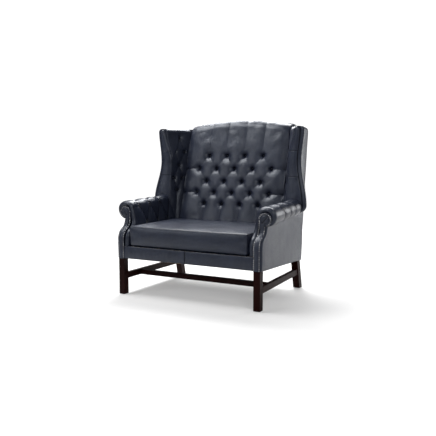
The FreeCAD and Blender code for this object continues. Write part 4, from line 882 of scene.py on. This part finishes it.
def nails_piece():
    placed = []
    for x, z in nail_places():
        slope = float(arm_front_y(z + 1) - arm_front_y(z - 1)) / 2
        placed.append(((x, float(arm_front_y(z)) - COVER - 0.3, z), (0, -1, slope)))
    points, faces = copies(dome(NAIL_RADIUS, NAIL_HEIGHT, skirt=1.0, rings=4, sides=12), placed)
    both_sides("domed_facing_nails", points, faces, replaces=["facing_nails"], slot="antique_nails")


# Panels and front border

def outside_arm_piece():
    """The plain panel from a facing to the back, tucked under the roll and the wing's skirt."""
    tuck_z = 519.0
    depths = np.concatenate([[0, 0.6, 1.6, 3, 5, 8, 12], spread(16, 760, 6.0)])
    level, depth = grid(spread(FRONT_CLEARANCE, tuck_z, 6.0), depths)
    start = arm_front_y(level)
    y = start + (np.minimum(rear_face_y(level) - 2, ARM_OUTER_END_Y) - start) * depth / depths[-1]
    station = np.maximum(y, ARM_FRONT_Y)
    roll_low = roll_centre(station) - roll_radius(station)
    high = mix(roll_low + 8, WING_SKIRT_Z + 22, ease((y - 520) / 60))
    z = mix(underside_z(y), high, (level - FRONT_CLEARANCE) / (tuck_z - FRONT_CLEARANCE))
    edge, below = y - start, z - underside_z(y)
    crown = 2.6 * ease(edge / 60) * ease(below / 50) + 0.7 * ripples(y, z, 110, 21)
    x = panel_x(y) - rounded(edge, 10.0) - 0.8 * rounded(below, 5.0) + crown
    rear = xyz(x - 9.0, y + np.clip(6 - edge, 0, 6), z)
    add_sheet("outside_arm_panel", xyz(x, y, z), rear, ["outside_arm"])


def front_border_piece():
    """The leather below the cushion: up the front, over the padded edge and back onto the deck."""
    edge, back = 4.5, 34.0
    rise, level = spread(FRONT_CLEARANCE, SEAT_TOP - edge, 3.0), spread(edge + 4, back, 4.0)
    turns = quarter(7)
    path_y = np.concatenate([np.zeros(len(rise)), edge * (1 - np.cos(turns)), level])
    path_z = np.concatenate([rise, SEAT_TOP - edge + edge * np.sin(turns), np.full(len(level), SEAT_TOP)])
    x, depth = grid(spread(0, FACING_INNER_X + 1, 5.0), path_y)
    z = np.broadcast_to(path_z, x.shape)
    up = np.clip((z - FRONT_CLEARANCE) / (SEAT_TOP - FRONT_CLEARANCE), 0, 1)
    crown = 4.0 * np.sin(np.pi * up) ** 0.8
    pull = 1.2 * hump(x - 11, 8) - 2.4 * np.exp(-x / 5.0)
    waves = 0.7 * ripples(x, z, 90, 31) + 0.4 * ripples(x, z * 0.4, 26, 33)
    y = depth - (crown + pull + waves) * (depth < edge) + rounded(z - FRONT_CLEARANCE, 5.0)
    rear_y = np.maximum(y + COVER, np.minimum(depth + COVER, back))
    # Painted shade along the seam at x = 0.
    add_sheet("front_border_leather", xyz(x, y, z + 0.4 * (depth >= edge)),
              xyz(x, rear_y, z - COVER * ease(depth / edge)), ["front_border"], hollow=0.9 * np.exp(-x / 2.2))


def outside_back_piece():
    """The plain panel behind: upright posts, rounded wing tops and the crest's arch."""
    arch_z, wing_top = CREST_Z - 8, WING_TOP - COVER
    w, z = np.meshgrid(np.linspace(-1, 1, 181), spread(REAR_CLEARANCE, arch_z, 6.0))
    low_half = panel_x(REAR_KNEE_Y)
    high_half = WING_WAIST_X - WING_BORDER_WIDTH / 2 + COVER
    up = np.maximum((z - REAR_KNEE_Z) / (wing_top - REAR_KNEE_Z), 0)
    half = mix(low_half, high_half, up) - rounded(wing_top - z, WING_CAP)
    arch_half = np.sqrt(np.maximum(CREST_RADIUS ** 2 - (CREST_RADIUS - arch_z + z) ** 2, 0))
    half = np.where(z > wing_top, np.minimum(arch_half, BACK_HALF), half)
    half = np.maximum(half, 1.0)
    x = w * half
    edge = np.minimum(half - np.abs(x), z - REAR_CLEARANCE)
    crown = 3.0 * ease(edge / 90) + 0.9 * ripples(x, z, 160, 51)
    front = xyz(x, rear_face_y(z) + crown - 0.5 * rounded(edge, 6.0), z)
    add_sheet("outside_back_panel", front, xyz(x, rear_face_y(z) - COVER, z), ["outside_back"], add=add_piece)


# Wings

def wing_outer(z):
    """The wing's outer front edge: its x and y at a height."""
    foot = ease((WING_WAIST_Z - z) / WING_FOOT_SPAN)
    x = WING_WAIST_X + WING_FOOT_FLARE * foot + WING_HEAD_FLARE * wing_head(z)
    return x, WING_FRONT_Y - WING_FOOT_FORWARD * foot


def wing_head(z):
    """How far a height is up the wing's head, from 0 at its waist to 1 at its top."""
    return ease((z - WING_WAIST_Z) / (WING_TOP - WING_WAIST_Z))


def wing_inner_x(z):
    return WING_WAIST_X - WING_BORDER_WIDTH + (WING_HEAD_FLARE + WING_HEAD_NARROWING) * wing_head(z)


def wing_face(z):
    """The wing's inner face in plan: its front corner, rear end, length, direction and the way out."""
    corner = np.stack([wing_inner_x(z), wing_outer(z)[1] + WING_BORDER_STEP], -1)
    end = np.stack([np.full_like(z, BACK_HALF - 2), button_face_y(z) - SIDE_FALL], -1)
    length = np.linalg.norm(end - corner, axis=-1)
    along = (end - corner) / length[..., None]
    return corner, end, length, along, np.stack([-along[..., 1], along[..., 0]], -1)


def wing_seam(z):
    """How far along the inner face the smooth border reaches: it widens into the wing's head."""
    return 0.03 + 0.46 * ease((z - 870) / 170)


def cap_inset(z):
    """How far the wing's rounded top has drawn in at a height."""
    return rounded(WING_TOP - z, WING_CAP)


def wing_heights(start, step, turns):
    """Heights up a wing, even as far as its rounded top and then round that."""
    straight = spread(start, WING_TOP - WING_CAP, step)
    return np.concatenate([straight, WING_TOP - WING_CAP + WING_CAP * np.sin(quarter(turns))])


def rear_post_x(z):
    share = np.clip((z - REAR_KNEE_Z) / (WING_TOP - WING_CAP - REAR_KNEE_Z), 0, 1)
    return mix(HALF_SPAN - 14, WING_WAIST_X - WING_BORDER_WIDTH / 2, share)


def on_wing_face(z, run, off):
    """Points at a run along the wing's inner face and a distance off it."""
    corner, _, _, along, outward = wing_face(z)
    plan = corner + along * run[..., None] + outward * off[..., None]
    return np.concatenate([plan, z[..., None]], -1)


def wing_rows():
    """The wing's buttons from the lowest row up, one and two by turns, from the middle of its face."""
    rows = []
    for index, z in enumerate(WING_ROWS):
        apart = WING_SPREAD * float(wing_face(np.array(z))[2])
        rows.append([(-apart, z), (apart, z)] if index % 2 else [(0.0, z)])
    return rows


def inside_wing_piece():
    """The buttoned inner face of a wing."""
    foot = SEAT_TOP + 6
    z, w = grid(wing_heights(foot, CELL, 15), np.linspace(0, 1, 64))
    length = wing_face(z)[2]
    u = w * length
    target = (WING_PUFF + 8) * ease((length - u + 14) / 34) * ease((u + 16) / 30)
    skin = Tufting(u - length / 2, z, target, reach=9.0, pit=12.0)
    rows = wing_rows()
    skin.net(rows, (0.75, 0.5))
    for row in rows[1::2]:
        for side, (offset, row_z) in zip((-1, 1), row):
            skin.pleat((offset, row_z), (side * WING_FOLD_END, row_z - 4), (0.5, 0.5))
    skin.pleat(rows[0][0], (0.0, foot), (0.6, 0.8))
    height, hollow = skin.settle(seed=71, gather=0.8, lumps=1.0)
    front = on_wing_face(z, u, height - WING_PUFF - 2 - 0.9 * cap_inset(z))
    rear = on_wing_face(z, u, np.full_like(u, -WING_DEPTH))
    add_sheet("buttoned_wing", front, rear, ["inside_wing"], hollow=hollow)

    places = []
    for offset, row_z in sum(rows, []):
        level = np.array(row_z)
        _, _, length, _, outward = wing_face(level)
        spot = on_wing_face(level, length / 2 + offset, np.array(-WING_PUFF - 1))
        places.append((spot, (outward[0], outward[1], 0.05)))
    add_buttons("covered_wing_buttons", places, "wing_buttons")


def wing_border_piece():
    """The smooth strip up the wing's front and the band beside it that widens into the head."""
    zs = wing_heights(WING_BORDER_FOOT, 3.0, 17)
    z, w = grid(zs, np.linspace(0, 1, 41))
    outer_x, outer_y = wing_outer(z)
    inner_x, inset = wing_inner_x(z), cap_inset(z)
    width = outer_x - inner_x
    swell = WING_BORDER_SWELL * (1 - (2 * w - 1) ** 2) ** 0.8 * (1 + 0.6 * ease((z - 985) / 110))
    seams = sum(1.8 * hump(z - seam, 2.2) - 0.9 * hump(z - seam + 6, 4.0) for seam in WING_SEAMS)
    soft = mix(8.0, 26.0, ease((z - WING_WAIST_Z) / 150))
    edges = 0.7 * rounded(w * width, soft) + rounded((1 - w) * width, 5.0)
    x = mix(inner_x, outer_x - inset, w)
    y = mix(outer_y + WING_BORDER_STEP, outer_y, w) - swell + seams + inset + edges
    y = y - 0.7 * ripples(x, z, 60, 61)

    z_side, s = grid(zs, np.linspace(1, 0, 29)[:-1])
    reach = wing_seam(z_side) * wing_face(z_side)[2]
    band_swell = 5.0 * np.sin(0.9 * np.pi * s) * ease(reach / 30) - 5.0 * (s > 0.96)
    side = on_wing_face(z_side, s * reach, band_swell - cap_inset(z_side))
    front = np.concatenate([side, xyz(x, y, z)], 1)
    middle_x = mix(inner_x[:, :1], outer_x[:, :1], 0.5)
    rear_x = np.clip(front[..., 0], middle_x - 8, middle_x + 8)
    rear_y = np.broadcast_to(outer_y[:, :1] + WING_BORDER_DEPTH, rear_x.shape)
    # Painted shade on the seams, along the band's join with the buttoned face and on the strip's outer edge.
    seam_shade = sum(hump(z - seam, 2.0) for seam in WING_SEAMS)
    hollow = np.concatenate([(s > 0.95) * 0.9, np.clip(seam_shade + (w > 0.97), 0, 1)], 1)
    add_sheet("wing_border_strip", front, xyz(rear_x, rear_y, front[..., 2]), ["wing_border"], hollow=hollow)


def wing_cap_piece():
    """The level leather over a wing's top, from its border back to the post and in to the back."""
    corner, end, _, _, outward = wing_face(np.array(WING_TOP))
    outer_x, outer_y = (float(value) for value in wing_outer(WING_TOP))
    front_y, rear_y = outer_y + WING_CAP - 4, float(rear_face_y(WING_TOP)) - COVER
    t = np.linspace(0, 1, 61)[:, None]
    turn = 0.7
    clear = (WING_CAP - 6) * (1 - ease((t - 0.55) / 0.15))
    inner = mix(corner, end, np.clip(t / turn, 0, 1)) - outward * clear
    inner = mix(inner, np.array([BACK_HALF - 2, rear_y]), np.clip((t - turn) / (1 - turn), 0, 1))
    inner[:, 1] = np.maximum(inner[:, 1], front_y)
    outer_front = np.array([outer_x - WING_CAP + 8, front_y])
    outer_rear = np.array([float(rear_post_x(WING_TOP)) - WING_CAP + 8, rear_y])
    outer = mix(outer_front, outer_rear, t)
    plan = mix(inner[:, None], outer[:, None], np.linspace(0, 1, 21)[None, :, None])
    level = WING_TOP - 0.8 + 0.5 * ripples(plan[..., 0], plan[..., 1], 70, 91)
    front = np.concatenate([plan, level[..., None]], -1)
    add_sheet("wing_top_cap", front, front - (0.0, 0.0, 10.0))


def outside_wing_piece():
    """The rolled bead down the wing's outer edge and the plain side behind it."""
    skirt = mix(WING_SKIRT_Z, WING_FOOT_Z, np.linspace(0, 1, 17)[:-1])
    zs = np.concatenate([skirt, wing_heights(WING_FOOT_Z, 4.0, 15)])
    z, b = grid(zs, np.linspace(0, 1, 33))
    outer_x, outer_y = wing_outer(np.maximum(z, WING_FOOT_Z))
    below = np.clip((WING_FOOT_Z - z) / (WING_FOOT_Z - WING_SKIRT_Z), 0, 1)
    share = np.sqrt(np.maximum(1 - below ** 2.2, 0))
    start_x = mix(panel_x(outer_y) - 3.0, outer_x, share)
    first_half = np.sin(np.pi * np.clip(b / 0.5, 0, 1))
    groove = 3.0 * hump(b - 0.5, 0.035) * share
    bead = WING_BEAD_SWELL * np.sin(np.pi * b) + WING_BEAD_ROLL * first_half ** 0.7 + 4.0 * b
    bead_x = start_x + bead * share - cap_inset(z)
    bead_y = outer_y + WING_BEAD_LENGTH * b - 6.0 * first_half * share

    z_side, s = grid(zs, np.linspace(0, 1, 49)[1:])
    rear_x = rear_post_x(z_side) + COVER - cap_inset(z_side)
    side_x = mix(bead_x[:, -1:], rear_x, s) + 3.0 * np.sin(np.pi * s) - rounded((1 - s) * 150, 6.0)
    side_y = mix(bead_y[:, -1:], rear_face_y(z_side) - COVER + 1, s)
    side = xyz(side_x, side_y, z_side)
    front = np.concatenate([xyz(bead_x - groove, bead_y, z), side], 1)
    rear = np.concatenate([xyz(bead_x, bead_y, z), side], 1) - (16.0, 0.0, 0.0)
    rear[..., 1] = np.maximum(rear[..., 1], outer_y[:, :1] + 14)
    # Painted shade in the bead's groove and along its front edge.
    hollow = np.concatenate([np.clip(groove / 3.0 + (b < 0.03), 0, 1), np.zeros(z_side.shape)], 1)
    add_sheet("outside_wing_panel", front, rear, ["outside_wing"], hollow=hollow)


# Seat cushion

def box_form(low, high, step):
    """Points and faces of a box of even quads, and how near each point is to an edge of the box."""
    counts = np.maximum(np.round((high - low) / step).astype(int), 1)
    lookup, faces = {}, []
    for axis in range(3):
        a, b = (axis + 1) % 3, (axis + 2) % 3
        for end in (0, counts[axis]):
            for i, j in np.ndindex(counts[a], counts[b]):
                quad = []
                for di, dj in ((0, 0), (1, 0), (1, 1), (0, 1)):
                    key = [0, 0, 0]
                    key[axis], key[a], key[b] = int(end), i + di, j + dj
                    quad.append(lookup.setdefault(tuple(key), len(lookup)))
                faces.append(quad if end else quad[::-1])
    points = low + (high - low) * np.array(list(lookup)) / counts
    gaps = np.sort(np.minimum(points - low, high - points), axis=1)
    return points, faces, gaps[:, 1]


def filled(piece, seam, pressure, steps=20):
    """Blows a sewn cover up with its seams held, and returns how far each point has moved, in millimetres."""
    group = piece.vertex_groups.new(name="seams")
    group.add([int(index) for index in np.flatnonzero(seam)], 1.0, "REPLACE")
    cloth = piece.modifiers.new("filling", "CLOTH")
    settings = {"use_pressure": True, "uniform_pressure_force": pressure, "vertex_group_mass": "seams",
                "tension_stiffness": 12.0, "compression_stiffness": 12.0, "bending_stiffness": 0.6,
                "quality": 5}
    for key, value in settings.items():
        setattr(cloth.settings, key, value)
    cloth.settings.effector_weights.gravity = 0.0
    cloth.point_cache.frame_start, cloth.point_cache.frame_end = 1, steps
    scene = bpy.context.scene
    for step in range(1, steps + 1):
        scene.frame_set(step)
    shaped = piece.evaluated_get(bpy.context.evaluated_depsgraph_get())
    count = len(piece.data.vertices)
    before, after = np.empty(count * 3), np.empty(count * 3)
    piece.data.vertices.foreach_get("co", before)
    shaped.data.vertices.foreach_get("co", after)
    piece.modifiers.remove(cloth)
    scene.frame_set(1)
    return ((after - before) / MM).reshape(-1, 3)


def seat_cushion():
    """A boxed cushion: sewn panels blown up by cloth simulation between seams that stay put."""
    low, high = (np.array(corner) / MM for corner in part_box("seat_cushion_cover"))
    front, rear = low[1] - LAYOUT_Y + CUSHION_FRONT_GAP, high[1] - LAYOUT_Y - CUSHION_REAR_GAP
    low_corner = np.array([low[0] + CUSHION_SIDE_GAP, front, SEAT_TOP + CUSHION_DECK_GAP])
    high_corner = np.array([high[0] - CUSHION_SIDE_GAP, rear, SEAT_TOP + CUSHION_HEIGHT])
    points, faces, from_edge = box_form(low_corner, high_corner, CUSHION_STEP)
    middle, half = (low_corner + high_corner) / 2, (high_corner - low_corner) / 2
    x, y, z = ((points - middle) / half).T
    crown = (1 - np.abs(x) ** 5) * (1 - np.abs(y) ** 3)
    edge = np.where(z > 0, CUSHION_TOP_EDGE, CUSHION_LOW_EDGE)[:, None]
    core = np.clip(points, low_corner + edge, high_corner - edge)
    out = points - core
    points = core + edge * out / np.maximum(np.linalg.norm(out, axis=1, keepdims=True), 1e-6)
    points[:, 2] += 2.0 * crown * (z > 0.99)
    # Painted shade along the seams at the box's edges.
    piece = add_piece("leather_seat_cushion", points, faces, body=CUSHION_BODY,
                      hollow=np.clip(1 - from_edge / 3, 0, 1) * 0.7,
                      replaces=["seat_cushion_cover", "seat_cushion_core", "cushion_zip"])
    moved = filled(piece, from_edge < 1.0, pressure=4.0)
    limit = np.array([CUSHION_BELLY, CUSHION_BELLY, CUSHION_CROWN])
    moved = limit * np.tanh(moved / limit)
    moved[:, 2] = np.where(z < -0.98, np.maximum(moved[:, 2], 0) * 0.2, moved[:, 2])
    moved[:, 1] = np.where(y > 0, np.minimum(moved[:, 1], CUSHION_BACK), moved[:, 1])
    puffed = points + moved
    puffed[:, 2] += 1.0 * ripples(points[:, 0], points[:, 1], 150, 81) * crown * (z > 0.9)
    belly = (1 - z ** 4) * (1 - x ** 8) * (y < -0.99)
    puffed[:, 1] += (0.8 * ripples(points[:, 0], points[:, 2], 90, 83) - 5.0) * belly
    piece.data.vertices.foreach_set("co", world(puffed).ravel())
    piece.data.update()
    smooth = piece.modifiers.new("smooth", "SUBSURF")
    smooth.levels = smooth.render_levels = 1


# Frame pieces that keep their shape

FRAME_LOOKS = {
    "mahogany_stain": ("front_leg", "rear_leg", "side_stretcher", "cross_stretcher"),
    "frame_beech": ("front_seat_rail", "back_seat_rail", "side_seat_rail", "corner_blocks", "crest_rail",
                    "back_low_rail", "arm_front_post", "arm_rail", "wing_frame", "wing_upright"),
    "spring_steel": ("seat_springs", "spring_clips"),
    "black_cloth": ("dust_cover", "seat_deck", "back_webbing"),
    "navy_black_leather": ("crest_piping",),
    "foam": ("facing_filler", "deck_edge_roll"),
    "glide_plastic": ("foot_glides",),
}


def ease_edges(piece):
    bevel = piece.modifiers.new("eased_edges", "BEVEL")
    bevel.width, bevel.segments = 1.6 * MM, 3
    bevel.limit_method, bevel.angle_limit = "ANGLE", math.radians(40)


def dress_frame():
    """Better surfaces for the pieces whose shape is already right, and eased edges on the polished wood."""
    for slot, names in FRAME_LOOKS.items():
        for node in [name + side for name in names for side in ("", "_left", "_right")]:
            if node in frame["nodes"]:
                piece = frame["nodes"][node]
                piece.data.materials.clear()
                piece.data.materials.append(LOOKS[slot])
                if slot == "mahogany_stain":
                    ease_edges(piece)


# Stage, lights and camera

WHITE = (1.0, 1.0, 1.0, 1.0)
FLOOR_COLOUR = (0.58, 0.58, 0.58, 1.0)
FLOOR_HALF = 60.0
FLOOR_GLOW = 0.30
FLOOR_NEAR, FLOOR_FAR = 1.1, 3.2
SKY_LIGHT = 0.14
CAMERA_PLACE = (1.9236, -3.6307, 0.9427)
CAMERA_AZIMUTH = math.radians(27.88)
CAMERA_TILT = math.radians(6.09)
CAMERA_LENS = 48.92


def seen(tree):
    """1 for what the camera sees, straight or through something clear, and 0 for other light."""
    path = add_node(tree, "LightPath", {})
    rays = {0: path.outputs["Is Camera Ray"], 1: path.outputs["Is Transmission Ray"]}
    return add_node(tree, "Math", rays, operation="MAXIMUM").outputs["Value"]


def pale_floor():
    """Pale matt floor that the camera sees brightened, a little near the settee and to white far from it."""
    finish = Finish("pale_floor")
    away = finish.node("VectorMath", {0: finish.place}, operation="LENGTH").outputs["Value"]
    fade = {"Value": away, "From Min": FLOOR_NEAR, "From Max": FLOOR_FAR, "To Min": FLOOR_GLOW, "To Max": 1.0}
    glow = finish.node("MapRange", fade, interpolation_type="SMOOTHSTEP").outputs["Result"]
    strength = finish.node("Math", {0: seen(finish.tree), 1: glow}, operation="MULTIPLY")
    return finish.surface({
        "Base Color": FLOOR_COLOUR, "Roughness": 1.0, "Specular IOR Level": 0.0,
        "Emission Color": WHITE, "Emission Strength": strength.outputs["Value"]})


def floor():
    mesh = bpy.data.meshes.new("studio_floor")
    corners = [(x * FLOOR_HALF, y * FLOOR_HALF, 0) for x, y in ((-1, -1), (1, -1), (1, 1), (-1, 1))]
    mesh.from_pydata(corners, [], [(0, 1, 2, 3)])
    mesh.materials.append(pale_floor())
    stand("studio_floor", mesh)


def lamp(name, place, target, size, power):
    light = bpy.data.lights.new(name, "AREA")
    light.shape = "RECTANGLE"
    light.size, light.size_y = size
    light.energy = power
    stand(name, light, place, Vector(target) - Vector(place))


def studio():
    """A sky that is white to the camera and dim as a light, and soft lamps around the settee."""
    scene = bpy.context.scene
    scene.view_settings.view_transform = "Standard"
    sky = bpy.data.worlds.new("studio_sky")
    scene.world = sky
    sky.use_nodes = True
    tree = sky.node_tree
    level = add_node(tree, "Math", {0: seen(tree), 1: 1.0, 2: SKY_LIGHT}, operation="MULTIPLY_ADD")
    connect(tree, tree.nodes["Background"], {"Color": WHITE, "Strength": level.outputs["Value"]})
    lamp("key_light", (-1.5, -0.8, 3.3), (0.1, 0.0, 0.6), (1.8, 1.0), 82.0)
    lamp("side_light", (2.2, 2.9, 1.0), (0.5, 0.0, 0.6), (1.6, 1.4), 42.0)
    lamp("rear_light", (-0.6, 1.5, 3.2), (0.0, 0.1, 0.8), (2.8, 1.0), 150.0)
    lamp("fill_light", (2.4, -2.8, 2.4), (0.0, 0.0, 0.6), (1.2, 1.2), 36.0)
    lamp("rim_light", (-1.2, 2.6, 2.4), (-0.5, -0.1, 0.6), (1.4, 1.0), 80.0)
    lamp("front_light", (-2.4, -3.6, 2.2), (0.0, 0.0, 0.9), (1.2, 1.2), 26.0)


def camera():
    data = bpy.data.cameras.new("photo_camera")
    data.lens = CAMERA_LENS
    data.sensor_width = 36.0
    look = Vector((-math.sin(CAMERA_AZIMUTH) * math.cos(CAMERA_TILT),
                   math.cos(CAMERA_AZIMUTH) * math.cos(CAMERA_TILT), -math.sin(CAMERA_TILT)))
    bpy.context.scene.camera = stand("photo_camera", data, CAMERA_PLACE, look)


camera()
studio()
floor()
dress_frame()
back_piece()
arm_piece()
facing_piece()
nails_piece()
outside_arm_piece()
front_border_piece()
outside_back_piece()
inside_wing_piece()
wing_border_piece()
wing_cap_piece()
outside_wing_piece()
seat_cushion()
